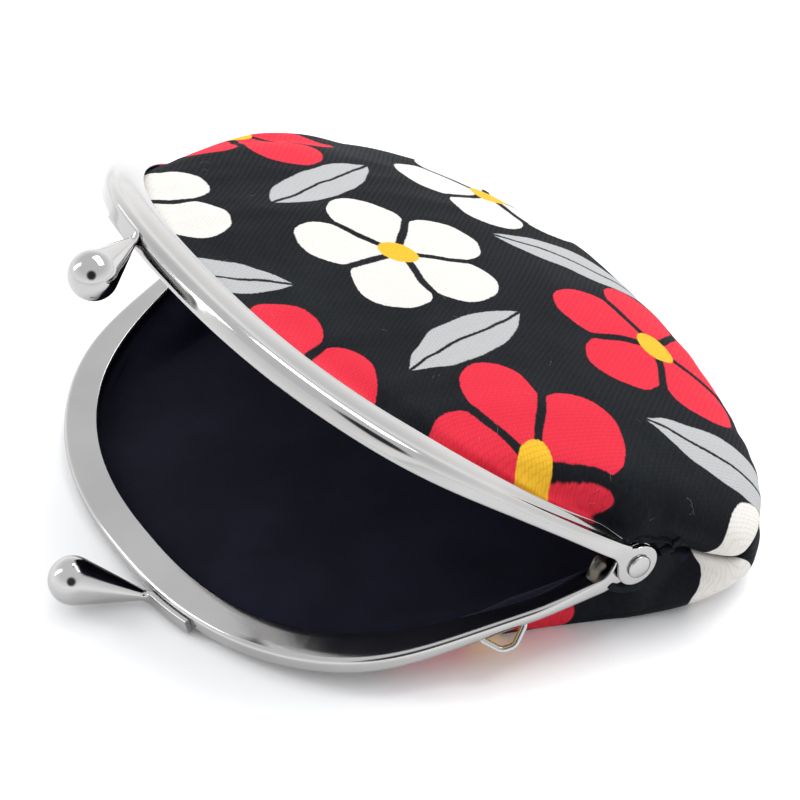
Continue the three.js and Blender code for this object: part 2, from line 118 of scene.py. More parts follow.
def soft_noise(points: np.ndarray, size: float, seed: float) -> np.ndarray:
    """Smooth noise from -1 to 1.

    Args:
        points: Places, with three numbers along the last axis.
        size: Distance from lump to lump, in the points' unit.
        seed: Picks another pattern.

    Returns:
        One value for each place.
    """
    flat = points.reshape(-1, 3) / size + seed
    values = np.fromiter((noise.noise(Vector(p)) for p in flat), float, len(flat))
    return values.reshape(points.shape[:-1])


def make_piece(
    name: str,
    points: np.ndarray,
    faces: Sequence[Sequence[int]],
    finish: bpy.types.Material,
    sharp: float = 38.0,
    cloth_map: np.ndarray | None = None,
) -> bpy.types.Object:
    """Makes a smooth mesh object.

    Args:
        name: The piece's name.
        points: Corners in millimetres, in the row frame.
        faces: Corner numbers of each face.
        finish: The piece's material.
        sharp: Degrees above which an edge stays sharp.
        cloth_map: Place of each corner in the flat cloth, in millimetres.

    Returns:
        The new object, linked to the scene.
    """
    mesh = bpy.data.meshes.new(name)
    mesh.from_pydata((np.asarray(points).reshape(-1, 3) * MM).tolist(), [], [list(f) for f in faces])
    if cloth_map is not None:
        layer = mesh.uv_layers.new(name=CLOTH_MAP)
        corners = np.empty(len(mesh.loops), dtype=np.int32)
        mesh.loops.foreach_get("vertex_index", corners)
        places = cloth_map.reshape(-1, 2)[corners] / CLOTH_MAP_SPAN
        layer.data.foreach_set("uv", places.astype(np.float32).ravel())
    mesh.validate()
    mesh.shade_smooth()
    mesh.set_sharp_from_angle(angle=math.radians(sharp))
    mesh.materials.append(finish)
    piece = bpy.data.objects.new(name, mesh)
    bpy.context.scene.collection.objects.link(piece)
    return piece


def grid_faces(rows: int, columns: int, closed: bool = False, flip: bool = False) -> list[tuple[int, ...]]:
    """Quads of a grid of corners.

    Args:
        rows: Number of rows.
        columns: Number of corners in a row.
        closed: Whether each row is a ring.
        flip: Whether the faces look the other way.

    Returns:
        Corner numbers of each quad.
    """
    j = np.arange(columns if closed else columns - 1)
    after = (j + 1) % columns
    faces: list[tuple[int, ...]] = []
    for i in range(rows - 1):
        low, high = i * columns, (i + 1) * columns
        quad = np.stack([low + j, low + after, high + after, high + j], axis=1)
        faces.extend(map(tuple, (quad[:, ::-1] if flip else quad).tolist()))
    return faces


def loft_faces(rings: int, count: int, flip: bool = False) -> list[tuple[int, ...]]:
    """Faces of a tube through rings of corners, closed at both ends.

    Args:
        rings: Number of rings.
        count: Corners in a ring.
        flip: Whether the faces look the other way.

    Returns:
        Corner numbers of each face.
    """
    first = tuple(range(count))
    last = tuple(range((rings - 1) * count, rings * count))
    caps = [first, last[::-1]] if flip else [first[::-1], last]
    return grid_faces(rings, count, closed=True, flip=flip) + caps


def lathe_points(
    profile: Sequence[tuple[float, float]], axis: np.ndarray, base: np.ndarray, sides: int
) -> np.ndarray:
    """Rings of corners of a turned form.

    Args:
        profile: Radius and height of each ring.
        axis: Direction of the heights.
        base: Place of height 0.
        sides: Corners in a ring.

    Returns:
        An array of rings by corners by three numbers.
    """
    axis = unit(np.asarray(axis, float))
    helper = np.array([0.0, 0.0, 1.0]) if abs(axis[2]) < 0.9 else np.array([0.0, 1.0, 0.0])
    across = unit(np.cross(helper, axis))
    third = np.cross(axis, across)
    turn = np.linspace(0.0, 2.0 * math.pi, sides, endpoint=False)
    circle = np.cos(turn)[:, None] * across + np.sin(turn)[:, None] * third
    return np.array([base + axis * height + circle * radius for radius, height in profile])


def set_in_purse(piece: bpy.types.Object, slot: Slot, *nodes: str) -> bpy.types.Object:
    """Attaches a piece to the purse's body and hides the CAD nodes that it stands for.

    Args:
        piece: The piece.
        slot: Not used.
        nodes: The solids that it replaces.

    Returns:
        The piece.
    """
    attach(piece, ROOT_BODY)
    if nodes:
        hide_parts(*nodes)
    return piece


Number = Union["Signal", float]
Colour = tuple[float, float, float]


class Signal:
    """A number that varies over a surface, for use in sums and products."""

    def __init__(self, graph: "Graph", socket: bpy.types.NodeSocket) -> None:
        """Keeps the graph and the node socket that gives the number."""
        self.graph = graph
        self.socket = socket

    def __add__(self, other: Number) -> "Signal":
        """The sum."""
        return self.graph.math("ADD", self, other)

    def __sub__(self, other: Number) -> "Signal":
        """The difference."""
        return self.graph.math("SUBTRACT", self, other)

    def __mul__(self, other: Number) -> "Signal":
        """The product."""
        return self.graph.math("MULTIPLY", self, other)

    def __truediv__(self, other: Number) -> "Signal":
        """The quotient."""
        return self.graph.math("DIVIDE", self, other)

    def __abs__(self) -> "Signal":
        """The size without its sign."""
        return self.graph.math("ABSOLUTE", self)

    def floor(self) -> "Signal":
        """The whole number below."""
        return self.graph.math("FLOOR", self)

    def below(self, edge: Number, softness: float) -> "Signal":
        """1 where the number lies under an edge, 0 over it, eased over a softness."""
        return self.graph.eased(self - edge, softness, -softness)


class Graph:
    """A material's nodes, written as sums and products of signals."""

    def __init__(self, name: str) -> None:
        """Starts a material of that name with one main shader.

        Args:
            name: The material's name.
        """
        self.material = bpy.data.materials.new(name)
        self.material.use_nodes = True
        self.tree = self.material.node_tree
        self.tree.nodes.clear()
        self.shader = self.tree.nodes.new("ShaderNodeBsdfPrincipled")
        output = self.tree.nodes.new("ShaderNodeOutputMaterial")
        self.tree.links.new(self.shader.outputs["BSDF"], output.inputs["Surface"])

    def feed(self, socket: bpy.types.NodeSocket, value: Number | Colour) -> None:
        """Sets a socket to a constant, or links a signal to it.

        Args:
            socket: The input.
            value: A number, a colour or a signal.
        """
        if isinstance(value, Signal):
            self.tree.links.new(value.socket, socket)
        elif isinstance(value, tuple) and len(value) == 3 and socket.type == "RGBA":
            socket.default_value = (*value, 1.0)
        else:
            socket.default_value = value

    def set(self, **values: Number | Colour) -> None:
        """Sets the main shader's sockets by name, with _ for a space."""
        for name, value in values.items():
            self.feed(self.shader.inputs[name.replace("_", " ")], value)

    def math(self, operation: str, *values: Number) -> Signal:
        """One sum, product or other operation.

        Args:
            operation: Its name among the math node's operations.
            values: What it works on.

        Returns:
            The result.
        """
        node = self.tree.nodes.new("ShaderNodeMath")
        node.operation = operation
        for socket, value in zip(node.inputs, values):
            self.feed(socket, value)
        return Signal(self, node.outputs[0])

    def eased(self, value: Signal, low: float, high: float, start: float = 0.0, end: float = 1.0) -> Signal:
        """An eased change of a signal's range.

        Args:
            value: The signal.
            low: Its value where the result is start.
            high: Its value where the result is end.
            start: The result at low.
            end: The result at high.

        Returns:
            The result, held between start and end.
        """
        node = self.tree.nodes.new("ShaderNodeMapRange")
        node.interpolation_type = "SMOOTHSTEP"
        flipped = low > high
        self.feed(node.inputs["Value"], value)
        self.feed(node.inputs["From Min"], high if flipped else low)
        self.feed(node.inputs["From Max"], low if flipped else high)
        self.feed(node.inputs["To Min"], end if flipped else start)
        self.feed(node.inputs["To Max"], start if flipped else end)
        return Signal(self, node.outputs["Result"])

    def mix(self, share: Number, a: Signal | Colour, b: Signal | Colour) -> Signal:
        """The colour at a share of the way from a to b.

        Args:
            share: 0 gives the first, 1 the second.
            a: The first colour.
            b: The second colour.

        Returns:
            The mixed colour.
        """
        node = self.tree.nodes.new("ShaderNodeMix")
        node.data_type = "RGBA"
        self.feed(node.inputs[0], share)
        self.feed(node.inputs[6], a)
        self.feed(node.inputs[7], b)
        return Signal(self, node.outputs[2])

    def vector(self, x: Number, y: Number, z: Number = 0.0) -> Signal:
        """A vector of three numbers.

        Args:
            x: First part.
            y: Second part.
            z: Third part.

        Returns:
            The vector.
        """
        node = self.tree.nodes.new("ShaderNodeCombineXYZ")
        for socket, value in zip(node.inputs, (x, y, z)):
            self.feed(socket, value)
        return Signal(self, node.outputs[0])

    def parts(self, vector: Signal) -> tuple[Signal, Signal, Signal]:
        """The three numbers of a vector.

        Args:
            vector: The vector.

        Returns:
            Its three parts.
        """
        node = self.tree.nodes.new("ShaderNodeSeparateXYZ")
        self.feed(node.inputs[0], vector)
        return tuple(Signal(self, socket) for socket in node.outputs)

    def object_place(self) -> Signal:
        """The place on the object, in metres."""
        return Signal(self, self.tree.nodes.new("ShaderNodeTexCoord").outputs["Object"])

    def cloth_place(self) -> tuple[Signal, Signal]:
        """The place in the flat cloth, in millimetres along and across its threads.

        Returns:
            Distances along and across the cloth, in millimetres.
        """
        node = self.tree.nodes.new("ShaderNodeUVMap")
        node.uv_map = CLOTH_MAP
        x, y, _ = self.parts(Signal(self, node.outputs["UV"]))
        return x * CLOTH_MAP_SPAN, y * CLOTH_MAP_SPAN

    def noise(self, place: Signal, scale: float, detail: float = 2.0, rough: float = 0.5) -> Signal:
        """Cloudy noise from 0 to 1.

        Args:
            place: Where on the surface.
            scale: Lumps in one unit of the place.
            detail: Number of finer layers.
            rough: Strength of the finer layers.

        Returns:
            The noise.
        """
        node = self.tree.nodes.new("ShaderNodeTexNoise")
        self.feed(node.inputs["Vector"], place)
        node.inputs["Scale"].default_value = scale
        node.inputs["Detail"].default_value = detail
        node.inputs["Roughness"].default_value = rough
        return Signal(self, node.outputs["Fac"])

    def random(self, place: Signal) -> Signal:
        """A random number from 0 to 1 for each place.

        Args:
            place: What the number depends on.

        Returns:
            A number from 0 to 1.
        """
        node = self.tree.nodes.new("ShaderNodeTexWhiteNoise")
        node.noise_dimensions = "2D"
        self.feed(node.inputs["Vector"], place)
        return Signal(self, node.outputs["Value"])

    def relief(self, height: Signal, depth: float, strength: float = 1.0) -> None:
        """Gives the surface a relief.

        Args:
            height: The relief, from 0 to 1.
            depth: Its depth in millimetres.
            strength: How much of it shows.
        """
        node = self.tree.nodes.new("ShaderNodeBump")
        node.inputs["Strength"].default_value = strength
        node.inputs["Distance"].default_value = depth * MM
        self.feed(node.inputs["Height"], height)
        self.feed(self.shader.inputs["Normal"], Signal(self, node.outputs["Normal"]))


@dataclass(frozen=True)
class NickelPlate:
    """Polished nickel plate on stamped sheet: fine rub marks, dulled and brightened in patches."""

    name: str = "nickel_plate"
    light: Colour = (0.43, 0.424, 0.42)
    dark: Colour = (0.385, 0.379, 0.375)
    polish: float = 0.1
    dulled: float = 0.17
    mark_depth: float = 0.0016

    def build(self) -> bpy.types.Material:
        """Wires the finish's nodes.

        Returns:
            The material.
        """
        g = Graph(self.name)
        place = g.object_place()
        patches = g.noise(place, 70.0, detail=3.0)
        x, y, z = g.parts(place)
        marks = g.noise(g.vector(x * 900.0, y * 3400.0, z * 3400.0), 1.0, detail=3.0, rough=0.65)
        specks = g.noise(place, 2600.0, detail=1.0)
        g.set(
            Base_Color=g.mix(g.eased(patches, 0.3, 0.7), self.dark, self.light),
            Roughness=g.eased(patches * 0.6 + marks * 0.4, 0.35, 0.68, self.polish, self.dulled),
            Metallic=1.0,
        )
        g.relief(marks * 0.6 + specks * 0.4, self.mark_depth, 0.5)
        return g.material


@dataclass(frozen=True)
class Weave:
    """Plain weave: threads that pass over and under each other."""

    pitch: float = 0.42  # from thread to thread
    slub: float = 0.35  # unevenness of the threads

    def height(self, g: Graph, x: Signal, y: Signal) -> Signal:
        """The weave's relief.

        Args:
            g: The material's graph.
            x: Place along the threads, in millimetres.
            y: Place across them.

        Returns:
            The relief from 0 to 1.
        """
        wobble = (g.noise(g.vector(x, y), 0.35, detail=1.0) - 0.5) * (0.4 * self.pitch)
        a = g.math("SINE", (x + wobble) * (math.pi / self.pitch))
        b = g.math("SINE", (y + wobble) * (math.pi / self.pitch))
        over = g.math("GREATER_THAN", a * b, 0.0)
        warp = g.math("SQRT", abs(a))
        weft = g.math("SQRT", abs(b))
        threads = weft + (warp - weft) * over
        slubs = g.noise(g.vector(x * 2.6, y * 0.5), 1.0) + g.noise(g.vector(x * 0.5, y * 2.6), 1.0)
        return threads * (1.0 - self.slub) + slubs * (self.slub * 0.5)


@dataclass(frozen=True)
class PrintedCotton:
    """Black cotton printed with rows of daisies and leaves, a generic flower print."""

    name: str = "printed_cotton"
    weave: Weave = Weave()
    ground: Colour = (0.0055, 0.0065, 0.0085)
    faded: Colour = (0.0115, 0.0135, 0.0165)
    cream: Colour = (0.6, 0.578, 0.548)
    red: Colour = (0.57, 0.024, 0.045)
    yellow: Colour = (0.64, 0.37, 0.025)
    grey: Colour = (0.36, 0.365, 0.37)
    cell_width: float = 37.0
    cell_height: float = 27.5
    petals: int = 5
    petal_reach: float = 13.2
    petal_gap: float = 0.55
    heart_radius: float = 2.5
    leaf_length: float = 11.5  # half of it
    leaf_width: float = 3.7  # half of it
    leaf_lean: float = 26.0
    leaf_vein: float = 0.22
    hand: float = 1.1  # wander of the printed lines
    ink_edge: float = 0.1
    bleed: float = 0.22  # how far the threads carry the ink
    relief_depth: float = 0.11

    def motif_masks(self, g: Graph, x: Signal, y: Signal) -> dict[str, Signal]:
        """Where each printed colour lies.

        Args:
            g: The material's graph.
            x: Place along the cloth, in millimetres.
            y: Place across it.

        Returns:
            Masks by name: cream, red, heart and leaf.
        """
        drift = g.noise(g.vector(x, y, 3.0), 0.13, detail=1.0) - 0.5
        drift_y = g.noise(g.vector(y, x, 9.0), 0.13, detail=1.0) - 0.5
        x = x + drift * (2.0 * self.hand) + (g.noise(g.vector(x, y, 1.0), 2.4, detail=1.0) - 0.5) * self.bleed
        carried = g.noise(g.vector(x, y, 7.0), 2.4, detail=1.0) - 0.5
        y = y + drift_y * (2.0 * self.hand) + carried * self.bleed
        row = (y / self.cell_height).floor()
        shifted = x + g.math("FLOORED_MODULO", row, 2.0) * (self.cell_width / 2.0)
        column = (shifted / self.cell_width).floor()
        chance = g.random(g.vector(column, row))
        across = shifted - (column + 0.5) * self.cell_width + (chance - 0.5) * 2.0
        up = y - (row + 0.5) * self.cell_height
        radius = g.math("SQRT", across * across + up * up)
        turn = g.math("ARCTAN2", up, across) / (2.0 * math.pi) + chance
        in_petal = turn * float(self.petals)
        to_side = abs(in_petal - in_petal.floor() - 0.5) * 2.0
        roundness = g.math("MAXIMUM", (to_side * to_side) * -0.66 + 1.0, 0.02)
        outline = g.math("SQRT", roundness) * self.petal_reach
        from_side = (to_side * -1.0 + 1.0) * radius * (math.pi / self.petals)
        within = radius.below(outline, self.ink_edge)
        petal = within * (from_side.below(self.petal_gap, self.ink_edge) * -1.0 + 1.0)
        kind = g.math("FLOORED_MODULO", column + row, 2.0)
        is_red = kind.below(0.5, 0.01)
        heart = radius.below(self.heart_radius, self.ink_edge)
        leaf = self.leaf_mask(g, shifted, up, row)
        return {
            "cream": petal * (is_red * -1.0 + 1.0),
            "red": petal * is_red,
            "heart": heart,
            "leaf": leaf,
        }

    def leaf_mask(self, g: Graph, shifted: Signal, up: Signal, row: Signal) -> Signal:
        """Where the leaves lie, one between each two flowers of a row.

        Args:
            g: The material's graph.
            shifted: Place along the row.
            up: Place across it.
            row: The row's number.

        Returns:
            The mask.
        """
        half = shifted + self.cell_width / 2.0
        across = half - ((half / self.cell_width).floor() + 0.5) * self.cell_width
        lean = g.math("FLOORED_MODULO", row, 2.0) * (2.0 * math.radians(self.leaf_lean)) + (
            math.pi / 2.0 - math.radians(self.leaf_lean)
        )
        c, s = g.math("COSINE", lean), g.math("SINE", lean)
        along = across * c + up * s
        aside = abs(up * c - across * s)
        share = along / self.leaf_length
        outline = (share * share) * -self.leaf_width + self.leaf_width
        vein = aside.below(self.leaf_vein, self.ink_edge)
        return aside.below(outline, self.ink_edge) * (vein * -1.0 + 1.0)

    def build(self) -> bpy.types.Material:
        """Wires the finish's nodes.

        Returns:
            The material.
        """
        g = Graph(self.name)
        x, y = g.cloth_place()
        threads = self.weave.height(g, x, y)
        masks = self.motif_masks(g, x, y)
        rubbed = g.noise(g.vector(x, y, 5.0), 0.09, detail=3.0)
        fluff = g.noise(g.vector(x * 1.3, y * 4.0, 1.0), 1.6, detail=3.0, rough=0.7)
        colour = g.mix(g.eased(rubbed * 0.5 + fluff * 0.5, 0.42, 0.72), self.ground, self.faded)
        inks = (("leaf", self.grey), ("cream", self.cream), ("red", self.red), ("heart", self.yellow))
        for name, ink in inks:
            colour = g.mix(masks[name], colour, ink)
        # Painted shade: the colour is darkened towards black, by up to 26 %, where the weave's relief is low
        # between the threads.
        painted_thread_shade = g.mix(g.eased(threads, 0.1, 0.85, 0.26, 0.0), colour, (0.0, 0.0, 0.0))
        g.set(Base_Color=painted_thread_shade, Roughness=0.88, Specular_IOR_Level=0.06)
        g.set(Sheen_Weight=0.02, Sheen_Roughness=0.5)
        g.relief(threads * 0.75 + fluff * 0.25, self.relief_depth, 0.7)
        return g.material


@dataclass(frozen=True)
class LiningCloth:
    """Navy lining cloth with a fine weave and a faint nap."""

    name: str = "navy_lining"
    weave: Weave = Weave(pitch=0.3, slub=0.3)
    deep: Colour = (0.0045, 0.0047, 0.014)
    worn: Colour = (0.0095, 0.0097, 0.025)
    relief_depth: float = 0.06

    def build(self) -> bpy.types.Material:
        """Wires the finish's nodes.

        Returns:
            The material.
        """
        g = Graph(self.name)
        x, y = g.cloth_place()
        threads = self.weave.height(g, x, y)
        clouds = g.noise(g.vector(x, y), 0.07, detail=4.0)
        colour = g.mix(g.eased(clouds, 0.35, 0.7), self.deep, self.worn)
        # Painted shade: the colour is darkened towards black, by up to 35 %, where the weave's relief is low
        # between the threads.
        painted_thread_shade = g.mix(g.eased(threads, 0.1, 0.8, 0.35, 0.0), colour, (0.0, 0.0, 0.0))
        g.set(Base_Color=painted_thread_shade, Roughness=0.8, Specular_IOR_Level=0.12)
        g.set(Sheen_Weight=0.04, Sheen_Roughness=0.45)
        g.relief(threads, self.relief_depth, 0.6)
        return g.material


@dataclass(frozen=True)
class LintFibre:
    """Pale loose fibres that cling to dark cotton."""

    name: str = "lint"
    pale: Colour = (0.42, 0.41, 0.4)
    warm: Colour = (0.24, 0.22, 0.2)

    def build(self) -> bpy.types.Material:
        """Wires the finish's nodes.

        Returns:
            The material.
        """
        g = Graph(self.name)
        shade = g.noise(g.object_place(), 220.0)
        g.set(Base_Color=g.mix(shade, self.pale, self.warm), Roughness=0.7)
        return g.material


@dataclass(frozen=True)
class GluedCord:
    """Brown paper cord, shiny with the glue that holds it."""

    name: str = "glued_cord"
    light: Colour = (0.085, 0.066, 0.05)
    dark: Colour = (0.024, 0.019, 0.015)
    relief_depth: float = 0.12

    def build(self) -> bpy.types.Material:
        """Wires the finish's nodes.

        Returns:
            The material.
        """
        g = Graph(self.name)
        place = g.object_place()
        lumps = g.noise(place, 900.0, detail=3.0)
        g.set(Base_Color=g.mix(g.eased(lumps, 0.35, 0.65), self.dark, self.light), Roughness=0.22)
        g.relief(lumps, self.relief_depth, 0.6)
        return g.material


@dataclass(frozen=True)
class TablePaper:
    """The pale surface that the purse lies on."""

    name: str = "table_paper"
    white: Colour = (0.945, 0.945, 0.95)
    shade: Colour = (0.93, 0.93, 0.937)

    def build(self) -> bpy.types.Material:
        """Wires the finish's nodes.

        Returns:
            The material.
        """
        g = Graph(self.name)
        clouds = g.noise(g.object_place(), 9.0)
        g.set(Base_Color=g.mix(clouds, self.shade, self.white), Roughness=0.55, Specular_IOR_Level=0.3)
        return g.material


@dataclass(frozen=True)
class Arch:
    """Points of a half's crest line, and the direction from each to the inside of the arch."""

    u: np.ndarray
    v: np.ndarray
    iu: np.ndarray
    iv: np.ndarray


@dataclass(frozen=True)
class Walls:
    """Sizes of the channel beside points of the crest line."""

    crest: np.ndarray
    lip: np.ndarray
    outer: np.ndarray
    inner: np.ndarray
    roundness: np.ndarray  # of the corners, as a share of their full radii


@dataclass(frozen=True)
class FrameShape:
    """Sizes and lines of the two arched channels and their hinge."""

    hinge: tuple[float, float, float]  # middle of the hinge axis in the row frame
    width: float = 85.0
    height: float = 44.7
    fullness: float = 2.4
    side_flattening: float = 1.7
    side_flat_end: float = 36.0
    front_angle: float = 38.0
    back_angle: float = 10.0
    sheet: float = 0.5
    crest_depth: float = 2.7
    lip_depth: float = 3.5
    outer_wall: float = 4.4
    inner_wall: float = 4.3
    hinge_wall: float = 2.4
    hinge_depth_share: float = 0.76
    outer_corner: float = 1.2
    inner_corner: float = 0.7
    outer_crown: float = 0.18
    channel_start: float = 4.6
    taper_start: float = 12.0
    taper_end: float = 34.0
    end_reach: float = 2.6  # hinge axis to where the channel has run into the lug
    end_flange: float = 0.76  # width of its walls there
    flange_taper: float = 7.4  # hinge axis to where its walls start to narrow
    end_corner: float = 0.3  # share of the corners' radii left there
    joggle_length: float = 13.0
    lug_gap: float = 0.3

    def along(self, side: Side) -> np.ndarray:
        """The direction from the hinge axis to the crest of a half."""
        a = math.radians(self.front_angle if side is Side.FRONT else -self.back_angle)
        return np.array([0.0, -math.cos(a), math.sin(a)])

    def out(self, side: Side) -> np.ndarray:
        """The direction that points away from the other half."""
        a = math.radians(self.front_angle if side is Side.FRONT else -self.back_angle)
        return np.array([0.0, math.sin(a), math.cos(a)]) * side.value

    def arch(self, side: Side, angle: np.ndarray) -> Arch:
        """Points of the crest line.

        Args:
            side: The half.
            angle: Angles round the arch, in radians, from the right hinge.

        Returns:
            The points and their inward directions.
        """
        a = self.width / 2.0
        u = a * power(np.cos(angle), 2.0 / self.fullness)
        v = self.height * power(np.sin(angle), 2.0 / self.fullness)
        turn = math.pi * np.minimum(v, self.side_flat_end) / self.side_flat_end
        flattening = self.side_flattening * np.sin(turn) ** 2
        slope = self.side_flattening * math.pi / self.side_flat_end * np.sin(2.0 * turn)
        gu = power(u / a, self.fullness - 1.0) / a
        gv = power(v / self.height, self.fullness - 1.0) / self.height + np.abs(gu) * slope
        length = np.hypot(gu, gv)
        step_in = 0.0 if side is Side.FRONT else self.sheet + self.lug_gap
        step = step_in * (1.0 - smoothstep(v, self.channel_start, self.joggle_length))
        return Arch(u - np.sign(u) * (flattening + step), v, -gu / length, -gv / length)

    def angle_at(self, v: float) -> float:
        """The angle round the arch at which the crest line is v from the hinge axis."""
        return math.asin((v / self.height) ** (self.fullness / 2.0))

    def lug_face(self, side: Side) -> float:
        """How far the outer face of a half's lugs is from the purse's middle."""
        return float(self.arch(side, np.array(self.angle_at(self.channel_start))).u)

    def sweep(self, shares: np.ndarray) -> np.ndarray:
        """Angles round the arch at shares of the way from the right end to the left."""
        start = self.angle_at(self.channel_start)
        return blend(start, math.pi - start, shares)

    def walls(self, v: np.ndarray) -> Walls:
        """The channel's sizes where the crest line is v from the hinge axis.

        Args:
            v: Distances from the hinge axis.

        Returns:
            The sizes at each.
        """
        t = smoothstep(v, self.taper_start, self.taper_end)
        depth = blend(self.hinge_depth_share, 1.0, t)
        crest, lip = self.crest_depth * depth, self.lip_depth * depth
        outer = blend(self.hinge_wall, self.outer_wall, t)
        widening = smoothstep(v, self.end_reach, self.flange_taper)
        share = blend(self.end_flange / self.hinge_wall, 1.0, widening)
        return Walls(
            crest,
            blend(crest, lip, share),
            outer * share,
            blend(self.hinge_wall, self.inner_wall, t) * share,
            blend(self.end_corner, 1.0, smoothstep(v, self.end_reach, self.taper_start)),
        )

    def place(self, side: Side, arch: Arch, w: np.ndarray, n: np.ndarray) -> np.ndarray:
        """Places beside points of the crest line, in the row frame.

        Args:
            side: The half.
            arch: Points of the crest line.
            w: Distance inward in the half's plane.
            n: Distance out of it.

        Returns:
            The places in millimetres.
        """
        x = arch.u + arch.iu * w
        v = arch.v + arch.iv * w
        n = np.broadcast_to(n, np.shape(v))
        spot = np.stack([x, np.zeros_like(x), np.zeros_like(x)], axis=-1)
        spot = spot + np.asarray(v)[..., None] * self.along(side) + n[..., None] * self.out(side)
        return spot + np.array(self.hinge)

    def rest_height(self) -> float:
        """The hinge axis above the table, on which the back channel's outer wall rests.

        Returns:
            The height in millimetres.
        """
        w = np.linspace(self.outer_corner, self.outer_wall, 25)
        n = self.outer_face(w, self.crest_depth, self.lip_depth, self.outer_wall)
        tilt = math.radians(self.back_angle)
        return float(np.max((self.height - w) * math.sin(tilt) + n * math.cos(tilt)))

    def outer_face(
        self, w: np.ndarray, crest: float, lip: float, outer: float, corner: float = 1.2
    ) -> np.ndarray:
        """Height of the domed outer wall at distances from the crest.

        Args:
            w: Distances from the crest.
            crest: Depth at the crest.
            lip: Depth at the lip.
            outer: Width of the wall.
            corner: Radius of its bend.

        Returns:
            The heights.
        """
        s = (w - corner) / (outer - corner)
        crown = 4.0 * self.outer_crown * (outer - corner) / (self.outer_wall - self.outer_corner)
        return blend(crest, lip, s) + crown * s * (1.0 - s)


def arc(w: float, n: float, radius: float, start: float, end: float, steps: int) -> list[tuple[float, float]]:
    """Points of a bend from one angle to another, in degrees, round a centre."""
    angles = np.radians(np.linspace(start, end, steps + 1))
    return [(w + radius * math.cos(a), n + radius * math.sin(a)) for a in angles]


